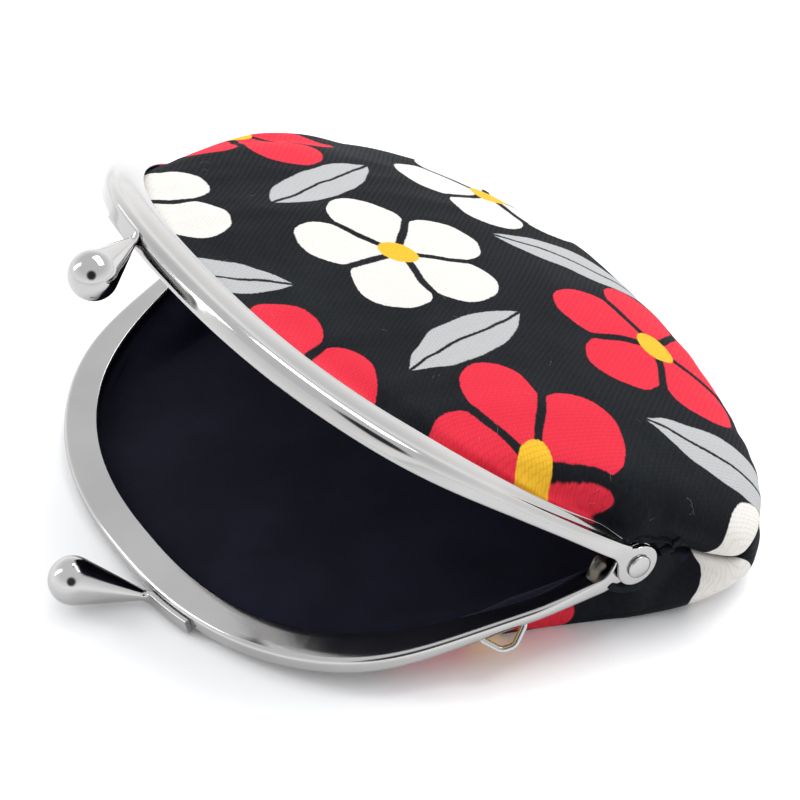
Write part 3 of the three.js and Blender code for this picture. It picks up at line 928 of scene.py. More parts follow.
@dataclass
class FrameHalf:
    """One half of the frame: a channel bent from sheet, a lug at each end, and on the back the strap eye."""

    shape: FrameShape
    side: Side
    finish: bpy.types.Material
    rings: int = 240
    end_rings: int = 12
    lip_round: float = 0.22
    lug_radius: float = 2.6
    lug_bevel: float = 0.13
    lug_sink: float = 0.015  # of the lug's face below the channel's
    eye_place: float = 16.5
    eye_base: float = 5.8
    eye_top: float = 1.6
    eye_height: float = 2.3
    eye_strip: float = 0.65
    eye_width: float = 1.1
    eye_slope: float = 35.0

    def section(self, walls: Walls, i: int) -> list[tuple[float, float]]:
        """The channel's section at one ring, from the inner lip round the outside and back.

        Args:
            walls: Sizes beside each ring.
            i: The ring's number.

        Returns:
            Distances inward and out of the plane.
        """
        s, k = self.shape, self.lip_round
        crest, lip, outer, inner = walls.crest[i], walls.lip[i], walls.outer[i], walls.inner[i]
        t = s.sheet
        ro = min(s.outer_corner * walls.roundness[i], outer - k - 0.05)
        ri = min(s.inner_corner * walls.roundness[i], inner - k - 0.05)
        bend = max(ro, t + 0.02)
        face = [(w, s.outer_face(w, crest, lip, outer, ro)) for w in np.linspace(ro, outer - k, 9)[1:]]
        back = [(max(w, bend), n - t) for w, n in reversed(face)]
        return [
            *arc(inner - k, k, k, 0, -90, 4),
            *[(w, 0.0) for w in np.linspace(inner - k, ri, 5)[1:-1]],
            *arc(ri, ri, ri, 270, 180, 6),
            *arc(ro, crest - ro, ro, 180, 92, 10),
            *face,
            *arc(outer - k, lip - k, k, 80, 0, 4),
            *arc(outer - k, lip - t + k, k, 0, -80, 3),
            *back,
            *arc(bend, crest - bend, bend - t, 92, 180, 4),
            (t, t),
            (inner - k, t),
            *arc(inner - k, t - k, k, 90, 0, 3),
        ]

    def channel(self) -> tuple[np.ndarray, int]:
        """Corners of the channel, ring by ring, and the number of corners in a ring.

        Returns:
            The corners, and how many a ring has.
        """
        s = self.shape
        arch = self.with_ends(s.arch(self.side, s.sweep(np.linspace(0.0, 1.0, self.rings))))
        walls = s.walls(arch.v)
        rows = []
        for i in range(len(arch.v)):
            w, n = np.array(self.section(walls, i)).T
            spot = Arch(arch.u[i], arch.v[i], arch.iu[i], arch.iv[i])
            rows.append(self.shape.place(self.side, spot, w, n))
        return np.concatenate(rows), len(rows[0])

    def with_ends(self, arch: Arch) -> Arch:
        """The crest line with its ends run on straight into the lugs.

        Args:
            arch: The crest line between the channel's ends.

        Returns:
            The longer line.
        """
        share = np.linspace(0.0, 1.0, self.end_rings + 1)[1:]
        v = blend(self.shape.channel_start, self.shape.end_reach, share)
        ease = smoothstep(share, 0.0, 1.0)
        face = self.shape.lug_face(self.side)
        right = Arch(0 * v + face, v, blend(arch.iu[0], -1.0, ease), blend(arch.iv[0], 0.0, ease))
        return Arch(
            np.concatenate([right.u[::-1], arch.u, -right.u]),
            np.concatenate([right.v[::-1], arch.v, right.v]),
            np.concatenate([right.iu[::-1], arch.iu, -right.iu]),
            np.concatenate([right.iv[::-1], arch.iv, right.iv]),
        )

    def lug_outline(self) -> np.ndarray:
        """The lug's outline: along the half, and out of its plane.

        Returns:
            Two numbers for each corner.
        """
        s, r = self.shape, self.lug_radius
        depth = float(s.walls(np.array(s.channel_start)).crest) - 0.04
        meet = math.degrees(math.asin(depth / r))
        leave = math.radians(325.0)
        disc = arc(0.0, 0.0, r, meet, math.degrees(leave), 64)
        foot = np.array(disc[-1])
        control = foot + np.array([-math.sin(leave), math.cos(leave)]) * (0.04 - foot[1]) / math.cos(leave)
        end = np.array([s.channel_start, 0.04])
        shares = np.linspace(0.0, 1.0, 10)[1:]
        fillet = [(1 - t) ** 2 * foot + 2 * t * (1 - t) * control + t**2 * end for t in shares]
        return np.array([(s.channel_start, depth - 0.35), (s.end_reach, depth - 0.25), *disc, *fillet])

    def lug(self, hand: int) -> bpy.types.Object:
        """A lug, as a bevelled plate round the hinge axis at the right (1) or left (-1) end.

        Args:
            hand: 1 is the right end, -1 the left.

        Returns:
            The piece.
        """
        s = self.shape
        outline = self.lug_outline()
        outside = hand * (s.lug_face(self.side) - self.lug_sink)
        rows = []
        for x in (outside, outside - hand * s.sheet):
            spot = np.array([x, 0.0, 0.0]) + outline[:, :1] * s.along(self.side)
            spot = spot + outline[:, 1:] * s.out(self.side)
            rows.append(spot + np.array([s.hinge[0], s.hinge[1], s.hinge[2]]))
        name = f"{self.side.label}_lug_{'right' if hand > 0 else 'left'}"
        faces = loft_faces(2, len(outline), hand * self.side.value > 0)
        piece = make_piece(name, np.array(rows), faces, self.finish)
        round_edges(piece, self.lug_bevel, 3)
        return piece

    def strap_eye(self) -> bpy.types.Object:
        """The strap eye: a strip bent to a loop, soldered to the crest beside the right hinge.

        Returns:
            The piece.
        """
        s = self.shape
        arch = s.arch(self.side, np.array(s.angle_at(self.eye_place)))
        crest = float(s.walls(arch.v).crest)
        along, out = s.along(self.side), s.out(self.side)
        tangent = unit(np.array([-float(arch.iv), 0.0, 0.0]) + along * float(arch.iu))
        outward = unit(np.array([-float(arch.iu), 0.0, 0.0]) - along * float(arch.iv))
        slope = math.radians(self.eye_slope)
        up = outward * math.sin(slope) + out * math.cos(slope)
        across = np.cross(tangent, up)
        seat = s.place(self.side, arch, s.outer_corner / 2.0, crest - s.outer_corner / 4.0)
        half = self.eye_strip / 2.0
        base, top = self.eye_base / 2.0 - half, self.eye_top / 2.0
        height = self.eye_height - half
        left = [(-base, -0.5), (-base * 0.98, 0.1), (-top, height)]
        corners = [*left, (top, height), (base * 0.98, 0.1), (base, -0.5)]
        line = rounded_line(np.array(corners), 0.55, 7)
        path = seat + line[:, :1] * tangent + line[:, 1:] * up
        points, count = strip_rings(path, across, self.eye_width, self.eye_strip, 0.16)
        return make_piece("strap_eye", points, loft_faces(len(path), count), self.finish)

    def build(self) -> list[bpy.types.Object]:
        """Makes the half's pieces and sets them in the purse.

        Returns:
            The channel first, then what is soldered to it.
        """
        points, count = self.channel()
        flip = self.side is Side.FRONT
        faces = loft_faces(len(points) // count, count, flip)
        channel = make_piece(f"{self.side.label}_channel", points, faces, self.finish, 50.0)
        set_in_purse(channel, Slot.FRAME, f"{self.side.label}_frame")
        extras = [self.lug(1), self.lug(-1)]
        if self.side is Side.BACK:
            extras.append(self.strap_eye())
        for piece in extras:
            set_in_purse(piece, Slot.FRAME)
        return [channel, *extras]


def round_edges(piece: bpy.types.Object, width: float, segments: int) -> None:
    """Bevels a piece's sharp edges.

    Args:
        piece: The piece.
        width: The bevel's width in millimetres.
        segments: How finely it is rounded.
    """
    bevel = piece.modifiers.new("rounded_edges", "BEVEL")
    bevel.width = width * MM
    bevel.segments = segments
    bevel.limit_method = "ANGLE"
    bevel.angle_limit = math.radians(40.0)


def rounded_line(corners: np.ndarray, radius: float, steps: int) -> np.ndarray:
    """An open line with its corners rounded.

    Args:
        corners: The line's corners.
        radius: How far from a corner its rounding starts.
        steps: Points in a rounding.

    Returns:
        The line's points.
    """
    line = [corners[0]]
    for before, corner, after in zip(corners, corners[1:], corners[2:]):
        near = min(radius, 0.45 * np.linalg.norm(corner - before), 0.45 * np.linalg.norm(after - corner))
        start = corner + unit(before - corner) * near
        end = corner + unit(after - corner) * near
        for t in np.linspace(0.0, 1.0, steps):
            line.append((1 - t) ** 2 * start + 2 * t * (1 - t) * corner + t**2 * end)
    return np.array([*line, corners[-1]])


def strip_rings(
    path: np.ndarray, across: np.ndarray, width: float, thickness: float, edge: float
) -> tuple[np.ndarray, int]:
    """Rings of a flat strip that follows a path.

    Args:
        path: The path of the strip's middle.
        across: Direction of its width.
        width: Its width.
        thickness: Its thickness.
        edge: Rounding of its edges.

    Returns:
        The corners, and the number of corners in a ring.
    """
    a, b = width / 2.0 - edge, thickness / 2.0 - edge
    loop = [
        *arc(a, b, edge, 0, 90, 3),
        *arc(-a, b, edge, 90, 180, 3),
        *arc(-a, -b, edge, 180, 270, 3),
        *arc(a, -b, edge, 270, 360, 3),
    ]
    tangent = unit(np.gradient(path, axis=0))
    normal = unit(np.cross(tangent, across))
    points = np.array([p + x * across + y * n for p, n in zip(path, normal) for x, y in loop])
    return points, len(loop)


@dataclass
class HingeRivet:
    """A rivet through both lugs of a hinge, with a low domed head outside and a spread tail inside."""

    shape: FrameShape
    hand: int  # 1 is the right hinge, -1 the left
    finish: bpy.types.Material
    shank: float = 0.8
    head: float = 1.45
    head_height: float = 0.55
    tail: float = 1.3
    tail_height: float = 0.35
    seat_gap: float = 0.05
    sides: int = 48

    def profile(self) -> list[tuple[float, float]]:
        """Radius and distance from the purse's middle, from the tail to the head.

        Returns:
            Radii and heights along the axis.
        """
        outside = self.shape.lug_face(Side.FRONT) + self.seat_gap
        inside = self.shape.lug_face(Side.BACK) - self.shape.sheet - self.seat_gap
        tail = [(0.001, inside - self.tail_height), (self.tail * 0.8, inside - self.tail_height * 0.9)]
        tail += [(self.tail, inside - self.tail_height * 0.5), (self.tail, inside), (self.shank, inside)]
        dome = [
            (self.head * math.cos(a), outside + self.head_height * (0.22 + 0.78 * math.sin(a) ** 0.8))
            for a in np.linspace(0.0, math.pi / 2.0, 12)
        ]
        return [*tail, (self.shank, outside), (self.head * 0.97, outside), *dome[:-1], (0.001, dome[-1][1])]

    def build(self) -> bpy.types.Object:
        """Makes the rivet and sets it in its hinge.

        Returns:
            The piece.
        """
        name = "right" if self.hand > 0 else "left"
        base = np.array(self.shape.hinge)
        profile = self.profile()
        rings = lathe_points(profile, np.array([float(self.hand), 0.0, 0.0]), base, self.sides)
        piece = make_piece(f"rivet_{name}", rings, loft_faces(len(profile), self.sides), self.finish)
        return set_in_purse(piece, Slot.RIVET, f"hinge_rivet_{name}")


@dataclass
class Clasp:
    """A snap clasp: a flat foot on the crest, bent out into a cone that runs smoothly into a ball."""

    shape: FrameShape
    side: Side
    finish: bpy.types.Material
    ball_radius: float = 2.9
    clasp_offset: float = 9.0
    ball_offset: float = 2.8
    ball_reach: float = 6.9
    ball_lean: float = 2.4
    foot_length: float = 6.2
    foot_width: float = 2.0
    foot_thickness: float = 0.7
    seat_gap: float = 0.05
    neck_radius: float = 0.66
    bend_length: float = 1.0
    sides: int = 56

    @property
    def hand(self) -> int:
        """The side of the purse's middle on which the clasp's foot is."""
        return -1 if self.side is Side.FRONT else 1

    def crest_at(self, u: float) -> Arch:
        """The crest line at a distance from the purse's middle, on the clasp's side."""
        angle = math.acos((abs(u) / (self.shape.width / 2.0)) ** (self.shape.fullness / 2.0))
        return self.shape.arch(self.side, np.array(angle if self.hand > 0 else math.pi - angle))

    def foot_path(self) -> np.ndarray:
        """The line of the foot's middle along the crest, from its free end to the bend.

        Returns:
            Its points, the stem's end last.
        """
        s = self.shape
        middle = s.crest_depth / 2.0
        lift = -self.seat_gap - self.foot_thickness / 2.0
        far_end = self.clasp_offset + self.foot_length - self.neck_radius
        ends = np.linspace(far_end, self.clasp_offset - 0.4, 9)
        return np.array([s.place(self.side, self.crest_at(u), lift, middle) for u in ends])

    def ball_centre(self) -> np.ndarray:
        """The middle of the ball.

        Returns:
            Its place in the row frame.
        """
        crest = self.crest_at(1e-3)
        spot = Arch(np.array(self.hand * self.ball_offset), crest.v, np.array(0.0), crest.iv)
        return self.shape.place(self.side, spot, -self.ball_reach, -self.ball_lean)

    def rings(self) -> np.ndarray:
        """Rings of the clasp: a flat strip that turns out, rounds into a cone, and ends as a ball.

        Returns:
            Corners, ring by ring.
        """
        foot, ball = self.foot_path(), self.ball_centre()
        corner = foot[-1] + unit(foot[-1] - foot[-2]) * self.bend_length
        axis = unit(ball - corner)
        neck = corner + axis * self.bend_length
        length = float(np.linalg.norm(ball - neck))
        slant = math.asin((self.ball_radius - self.neck_radius) / length)
        t = np.linspace(0.0, 1.0, 9)[1:, None]
        bend = (1 - t) ** 2 * foot[-1] + 2 * t * (1 - t) * corner + t**2 * neck
        to_tangent = length - self.ball_radius * math.sin(slant)
        along = np.linspace(0.0, to_tangent, 22)[1:]
        turns = np.linspace(math.pi / 2.0 - slant, math.pi, 30)[1:]
        path = np.concatenate([foot, bend, neck + axis * along[:, None]])
        path = np.concatenate([path, ball - axis * self.ball_radius * np.cos(turns)[:, None]])
        cone = self.neck_radius + (self.ball_radius * math.cos(slant) - self.neck_radius) * along / to_tangent
        sphere = np.maximum(self.ball_radius * np.sin(turns), 0.001)
        radius = np.concatenate([np.full(len(foot) + len(bend), self.neck_radius), cone, sphere])
        share = np.concatenate([np.zeros(len(foot)), t[:, 0], np.ones(len(along) + len(turns))])
        rounding = smoothstep(share, 0.1, 1.0)
        wide = blend(self.foot_width / 2.0, radius, rounding)
        thick = blend(self.foot_thickness / 2.0, radius, rounding)
        strip_ways = unit(np.gradient(np.concatenate([foot, bend]), axis=0))
        ways = np.concatenate([strip_ways, np.tile(axis, (len(path), 1))])
        turn = np.linspace(0.0, 2.0 * math.pi, self.sides, endpoint=False)
        rows = []
        for spot, way, a, b, r in zip(path, ways, wide, thick, rounding):
            third = unit(np.cross(way, self.shape.out(self.side)))
            second = np.cross(third, way)
            squareness = blend(0.3, 1.0, r)
            x, y = power(np.cos(turn), squareness) * a, power(np.sin(turn), squareness) * b
            rows.append(spot + x[:, None] * second + y[:, None] * third)
        return np.array(rows)

    def build(self) -> bpy.types.Object:
        """Makes the clasp and sets it on the crest.

        Returns:
            The piece.
        """
        rings = self.rings()
        faces = loft_faces(len(rings), self.sides, True)
        clasp = make_piece(f"{self.side.label}_snap_clasp", rings, faces, self.finish, sharp=45.0)
        return set_in_purse(clasp, Slot.CLASP, f"{self.side.label}_clasp")


@dataclass
class CordEnd:
    """The glued end of the paper cord in the back half's channel, where it comes out beside a hinge."""

    shape: FrameShape
    hand: int  # 1 is the right hinge, -1 the left
    finish: bpy.types.Material
    radius: float = 0.8
    strands: int = 2
    lug_clearance: float = 0.2
    root: float = 5.4  # hinge axis to where it comes out
    reach: float = 2.5  # how far it runs from there toward the hinge
    bow: float = 0.4  # how far its middle is bent the other way
    rise: float = 1.0  # of its root out of the back half's plane
    drop: float = 2.4  # of its tip below its root
    twist: float = 9.0  # radians that its strands turn
    strand_height: float = 0.1  # share of its radius
    steps: int = 40
    sides: int = 24

    def build(self) -> bpy.types.Object:
        """Makes the cord's end as a short twisted tube that curls up between the halves.

        Returns:
            The piece.
        """
        s = self.shape
        along, out = s.along(Side.BACK), s.out(Side.BACK)
        inside = s.lug_face(Side.BACK) - s.sheet - self.radius - self.lug_clearance
        share = np.linspace(0.0, 1.0, self.steps)[:, None]
        curl = self.root - self.reach * share + self.bow * np.sin(share * math.pi)
        height = self.rise - self.drop * smoothstep(share, 0.1, 1.0)
        path = np.array(s.hinge) + np.array([self.hand * inside, 0.0, 0.0]) + curl * along + height * out
        ways = unit(np.gradient(path, axis=0))
        turn = np.linspace(0.0, 2.0 * math.pi, self.sides, endpoint=False)
        rows = []
        for spot, way, t in zip(path, ways, share[:, 0]):
            second = unit(np.cross(way, [1.0, 0.0, 0.0]))
            third = np.cross(way, second)
            end = math.sqrt(max(1.0 - smoothstep(t, 0.86, 1.0) ** 2, 0.002))
            ridge = 1.0 + self.strand_height * np.cos(self.strands * turn + self.twist * t)
            circle = np.cos(turn)[:, None] * second + np.sin(turn)[:, None] * third
            rows.append(spot + circle * (self.radius * end * ridge)[:, None])
        name = f"cord_end_{'right' if self.hand > 0 else 'left'}"
        faces = loft_faces(self.steps, self.sides, True)
        piece = make_piece(name, np.array(rows), faces, self.finish, sharp=80.0)
        return set_in_purse(piece, Slot.LINING)


@dataclass(frozen=True)
class Swell:
    """How a panel swells at one place round the pouch."""

    place: float
    lift: float  # degrees that the cloth leaves the channel above its plane
    mouth: float  # handle at the channel, as a share of the panel's length there
    seam: float  # handle at the seam
    lean: float  # degrees that the cloth leans outward where it meets the seam


FRONT_SWELL = (
    Swell(0.0, 0, 0.25, 0.25, 30),
    Swell(0.15, 6, 0.22, 0.25, 30),
    Swell(0.35, 12, 0.28, 0.18, 12),
    Swell(0.6, 34, 0.2, 0.18, 16),
    Swell(0.78, 66, 0.2, 0.15, 5),
    Swell(0.93, 70, 0.38, 0.15, 8),
    Swell(1.0, 68, 0.4, 0.2, 30),
)
BACK_SWELL = (
    Swell(0.0, 30, 0.3, 0.25, 25),
    Swell(0.1, 56, 0.4, 0.22, 28),
    Swell(0.25, 75, 0.4, 0.25, 35),
    Swell(0.5, 30, 0.35, 0.2, 35),
    Swell(0.75, 75, 0.4, 0.25, 35),
    Swell(0.9, 56, 0.4, 0.22, 28),
    Swell(1.0, 30, 0.3, 0.25, 25),
)


def swell_column(table: Sequence[Swell], column: str, places: np.ndarray) -> np.ndarray:
    """A column of a swell table at places, eased from row to row.

    Args:
        table: The panel's table.
        column: The column's name.
        places: Places round the pouch.

    Returns:
        The column's value at each place.
    """
    values = np.zeros_like(places)
    for a, b in zip(table, table[1:]):
        inside = (places >= a.place) & (places <= b.place)
        share = smoothstep(places, a.place, b.place)
        values = np.where(inside, blend(getattr(a, column), getattr(b, column), share), values)
    return values


@dataclass(frozen=True)
class Panel:
    """A surface of cloth: its corners and their places in the flat cloth, rows round the pouch."""

    points: np.ndarray
    flat: np.ndarray
    outward: np.ndarray


@dataclass(frozen=True)
class PouchShape:
    """The form of the open pouch: two panels from the channels to a seam."""

    frame: FrameShape
    cover_thickness: float = 1.1
    lining_thickness: float = 1.0
    cloth_gap: float = 0.3
    edge_thickness: float = 0.5
    grip_gap: float = 0.2
    grip_depth: float = 1.3
    grip_share: float = 0.12
    width: float = 96.0
    depth: float = 28.0
    seam_fullness: float = 2.1
    seam_drop: float = 3.6
    seam_drop_ease: float = 0.35
    seam_start: float = 4.6
    seam_inset: float = 2.4
    pinch_spread: float = 11.0
    corner_inset: float = 0.9  # of a cover's corner at the hinge from the inside of the back half's lug
    table_blend: float = 1.2
    tuck_depth: float = 1.1  # of the valley where the cloth goes in beside the front half's right side
    tuck_place: float = 0.07  # share of a panel's length from the lips to the valley's middle
    gather_height: float = 0.6
    gather_pitch: float = 24.0
    gather_spread: float = 34.0

    def seam(self, places: np.ndarray) -> np.ndarray:
        """Points of the seam at places from the right hinge (0) to the left (1), from the hinge's middle.

        Args:
            places: Places round the pouch.

        Returns:
            A point for each.
        """
        angle = places * math.pi
        c, s = np.cos(angle), np.maximum(np.sin(angle), 0.0)
        from_hinge = np.minimum(places, 1.0 - places) * 180.0
        start = (self.frame.width / 2.0 - self.seam_inset) / (self.width / 2.0)
        pinch = 1.0 - (1.0 - start) * np.exp(-((from_hinge / self.pinch_spread) ** 2))
        return np.stack(
            [
                self.width / 2.0 * power(c, 2.0 / self.seam_fullness) * pinch,
                self.seam_start + (self.depth - self.seam_start) * s ** (2.0 / self.seam_fullness),
                -self.seam_drop * s**self.seam_drop_ease,
            ],
            axis=-1,
        )

    def gather(self, places: np.ndarray, t: np.ndarray) -> np.ndarray:
        """Height of the gathers that the hinges draw into the cloth.

        Args:
            places: Places round the pouch.
            t: Shares of the way to the seam.

        Returns:
            Heights in millimetres.
        """
        from_hinge = (np.minimum(places, 1.0 - places) * 180.0)[:, None]
        wave = np.cos(from_hinge / self.gather_pitch * 2.0 * math.pi)
        fade = np.exp(-((from_hinge / self.gather_spread) ** 2))
        rise = smoothstep(from_hinge, 0.0, self.gather_pitch)
        return self.gather_height * wave * fade * rise * np.sin(math.pi * t)[None, :] ** 2

    def tuck(self, side: Side, places: np.ndarray, t: np.ndarray) -> np.ndarray:
        """Depth of the valley between the frame and the cloth.

        Args:
            side: The half.
            places: Places round the pouch.
            t: Shares of the way to the seam.

        Returns:
            Depths in millimetres.
        """
        strong = smoothstep(places, 0.02, 0.09) * (1.0 - smoothstep(places, 0.24, 0.42))
        around = 0.2 + (0.8 * strong if side is Side.FRONT else 0.0 * places)
        valley = np.exp(-(((t - self.tuck_place) / (0.55 * self.tuck_place)) ** 2))
        return self.tuck_depth * around[:, None] * valley[None, :]

    def panel(
        self,
        side: Side,
        places: np.ndarray,
        t: np.ndarray,
        depth: float | np.ndarray,
        grip_below: float,
        seam_gap: float,
        relief: Callable[[np.ndarray, np.ndarray, np.ndarray], np.ndarray] | None = None,
    ) -> Panel:
        """A surface of one panel.

        Args:
            side: The half that it belongs to.
            places: Places round the pouch.
            t: Shares of the way from the channel's lips to the seam.
            depth: How far the surface lies below the pouch's outer surface, there or at each place.
            grip_below: The same inside the channel.
            seam_gap: How far above or below the seam's plane the surface ends.
            relief: Extra height at places, shares and points, in millimetres.

        Returns:
            The surface, with the rows inside the channel first.
        """
        f = self.frame
        table = FRONT_SWELL if side is Side.FRONT else BACK_SWELL
        arch = f.arch(side, f.sweep(places))
        walls = f.walls(arch.v)
        along, out = f.along(side), f.out(side)
        hinge = np.array(f.hinge)
        start = f.place(side, arch, walls.outer, walls.lip - f.sheet - self.grip_gap)
        end = self.seam(places) + hinge
        end[:, 2] += side.value * seam_gap
        reach = np.linalg.norm(end - start, axis=1)[:, None]
        lift = np.radians(swell_column(table, "lift", places))[:, None]
        lean = np.radians(swell_column(table, "lean", places))[:, None]
        inward = np.stack([arch.iu, 0.0 * arch.iu, 0.0 * arch.iu], axis=1) + arch.iv[:, None] * along
        leave = inward * np.cos(lift) + out * np.sin(lift)
        first = start + leave * reach * swell_column(table, "mouth", places)[:, None]
        angle = (places * math.pi)[:, None]
        level = np.concatenate([np.cos(angle), np.sin(angle), 0.0 * angle], axis=1)
        arrive = level * np.sin(lean) + np.array([0.0, 0.0, float(side.value)]) * np.cos(lean)
        second = end + arrive * reach * swell_column(table, "seam", places)[:, None]
        a, b, c, d = (p[:, None, :] for p in (start, first, second, end))
        s = t[None, :, None]
        curve = (1 - s) ** 3 * a + 3 * s * (1 - s) ** 2 * b + 3 * s**2 * (1 - s) * c + s**3 * d
        slope = 3 * (1 - s) ** 2 * (b - a) + 6 * s * (1 - s) * (c - b) + 3 * s**2 * (d - c)
        step = 1e-3
        seam_way = unit(self.seam(np.minimum(places + step, 1.0)) - self.seam(np.maximum(places - step, 0.0)))
        arch_way = np.stack([arch.iv, 0.0 * arch.iv, 0.0 * arch.iv], axis=1) - arch.iu[:, None] * along
        way = blend(arch_way[:, None, :], seam_way[:, None, :], smoothstep(s, 0.0, 1.0))
        normal = unit(np.cross(way, slope)) * -side.value
        free = smoothstep(s, 0.0, self.grip_share)
        under = unit(blend(out[None, None, :], normal, free))
        height = self.gather(places, t) - self.tuck(side, places, t)
        if relief is not None:
            height = height + relief(places, t, curve)
        deep = np.broadcast_to(depth, places.shape)[:, None]
        points = curve + normal * height[..., None] - under * blend(grip_below, deep[..., None], free)
        floor = deep - f.rest_height() + hinge[2]
        points[..., 2] = smooth_max(points[..., 2], floor, self.table_blend)
        grip, grip_flat = self.gripped(side, arch, walls, grip_below)
        flat = self.flat_places(arch, walls, curve, places)
        return Panel(
            np.concatenate([grip, points], axis=1),
            np.concatenate([grip_flat, flat], axis=1),
            np.concatenate([np.broadcast_to(out, grip.shape), normal], axis=1),
        )

    def closed(self, panel: Panel, side: Side, inset: float, steps: int = 12) -> Panel:
        """A panel with a gusset at each hinge, from its edge to the seam that runs on to the hinge axis.

        Args:
            panel: The panel.
            side: The half that it belongs to.
            inset: How far the gusset's corner lies inside the back half's lug.
            steps: Rows in a gusset.

        Returns:
            The longer panel.
        """
        hinge = np.array(self.frame.hinge)
        corner_x = self.frame.lug_face(Side.BACK) - self.frame.sheet - inset
        parts = []
        for end, neighbour, hand in ((0, 1, 1.0), (-1, -2, -1.0)):
            edge, flat = panel.points[end], panel.flat[end]
            steps_along = np.linalg.norm(np.diff(edge, axis=0), axis=1)
            share = np.concatenate([[0.0], np.cumsum(steps_along)]) / steps_along.sum()
            corner = hinge + np.array([hand * corner_x, 0.5, side.value * 0.35])
            line = corner + (edge[-1] - corner) * share[:, None]
            way = unit(flat - panel.flat[neighbour])
            rows, flats = [], []
            for s in np.linspace(0.0, 1.0, steps + 1)[1:]:
                puff = 0.5 * math.sin(math.pi * s) * (1.0 - share) * np.minimum(share * 6.0, 1.0)
                row = edge + (line - edge) * s
                row[:, 0] += hand * puff
                rows.append(row)
                flats.append(flat + way * np.linalg.norm(row - edge, axis=1)[:, None])
            if end == 0:
                rows, flats = rows[::-1], flats[::-1]
            parts.append((np.array(rows), np.array(flats), np.repeat(panel.outward[[end]], steps, axis=0)))
        first, last = parts
        return Panel(
            np.concatenate([first[0], panel.points, last[0]]),
            np.concatenate([first[1], panel.flat, last[1]]),
            np.concatenate([first[2], panel.outward, last[2]]),
        )

    def round_hinge(self, points: np.ndarray) -> np.ndarray:
        """Cloth points pushed out sideways over the rims of the back half's lugs.

        Args:
            points: Points of a cover.

        Returns:
            The points, moved.
        """
        f = self.frame
        local = points - np.array(f.hinge)
        from_axis = np.hypot(local[..., 1], local[..., 2])
        outside = f.lug_face(Side.BACK) + 0.15
        level = np.abs(local[..., 0])
        before = 1.0 - smoothstep(from_axis, 4.0, 5.2)
        behind = 1.0 - smoothstep(from_axis, 5.0, 11.0)
        strong = blend(before, behind, smoothstep(local[..., 1], -2.0, 1.5)) * smoothstep(from_axis, 2.7, 3.2)
        strong = strong * smoothstep(level, outside - 8.0, outside - 4.0)
        pushed = points.copy()
        pushed[..., 0] += np.sign(local[..., 0]) * np.maximum(outside - level, 0.0) * strong
        return pushed

    def gripped(
        self, side: Side, arch: Arch, walls: Walls, grip_below: float
    ) -> tuple[np.ndarray, np.ndarray]:
        """The stretch of a panel that the channel holds.

        Args:
            side: The half.
            arch: Points of the crest line.
            walls: The channel's sizes there.
            grip_below: How far the surface lies below the cloth's outer side.

        Returns:
            Its points and their places in the flat cloth.
        """
        f = self.frame
        way = self.grip_depth * walls.outer / f.outer_wall
        wall = blend(walls.lip, walls.crest, way / np.maximum(walls.outer - f.outer_corner, 0.8))
        points = f.place(side, arch, walls.outer - way, wall - f.sheet - self.grip_gap - grip_below)
        reach = walls.outer - way
        flat = np.stack([arch.u + arch.iu * reach, -(arch.v + arch.iv * reach)], axis=-1)
        return points[:, None, :], flat[:, None, :]

    def flat_places(self, arch: Arch, walls: Walls, curve: np.ndarray, places: np.ndarray) -> np.ndarray:
        """Places in the flat cloth of a panel's free stretch.

        Args:
            arch: Points of the crest line.
            walls: The channel's sizes there.
            curve: The panel's points, rows round the pouch.
            places: Places round the pouch.

        Returns:
            Two numbers for each point, in millimetres.
        """
        lip = np.stack([arch.u + arch.iu * walls.outer, -(arch.v + arch.iv * walls.outer)], axis=-1)
        way = unit(self.seam(places)[:, :2] - lip)
        steps = np.linalg.norm(np.diff(curve, axis=1), axis=2)
        run = np.concatenate([np.zeros((len(places), 1)), np.cumsum(steps, axis=1)], axis=1)
        return lip[:, None, :] + way[:, None, :] * run[..., None]


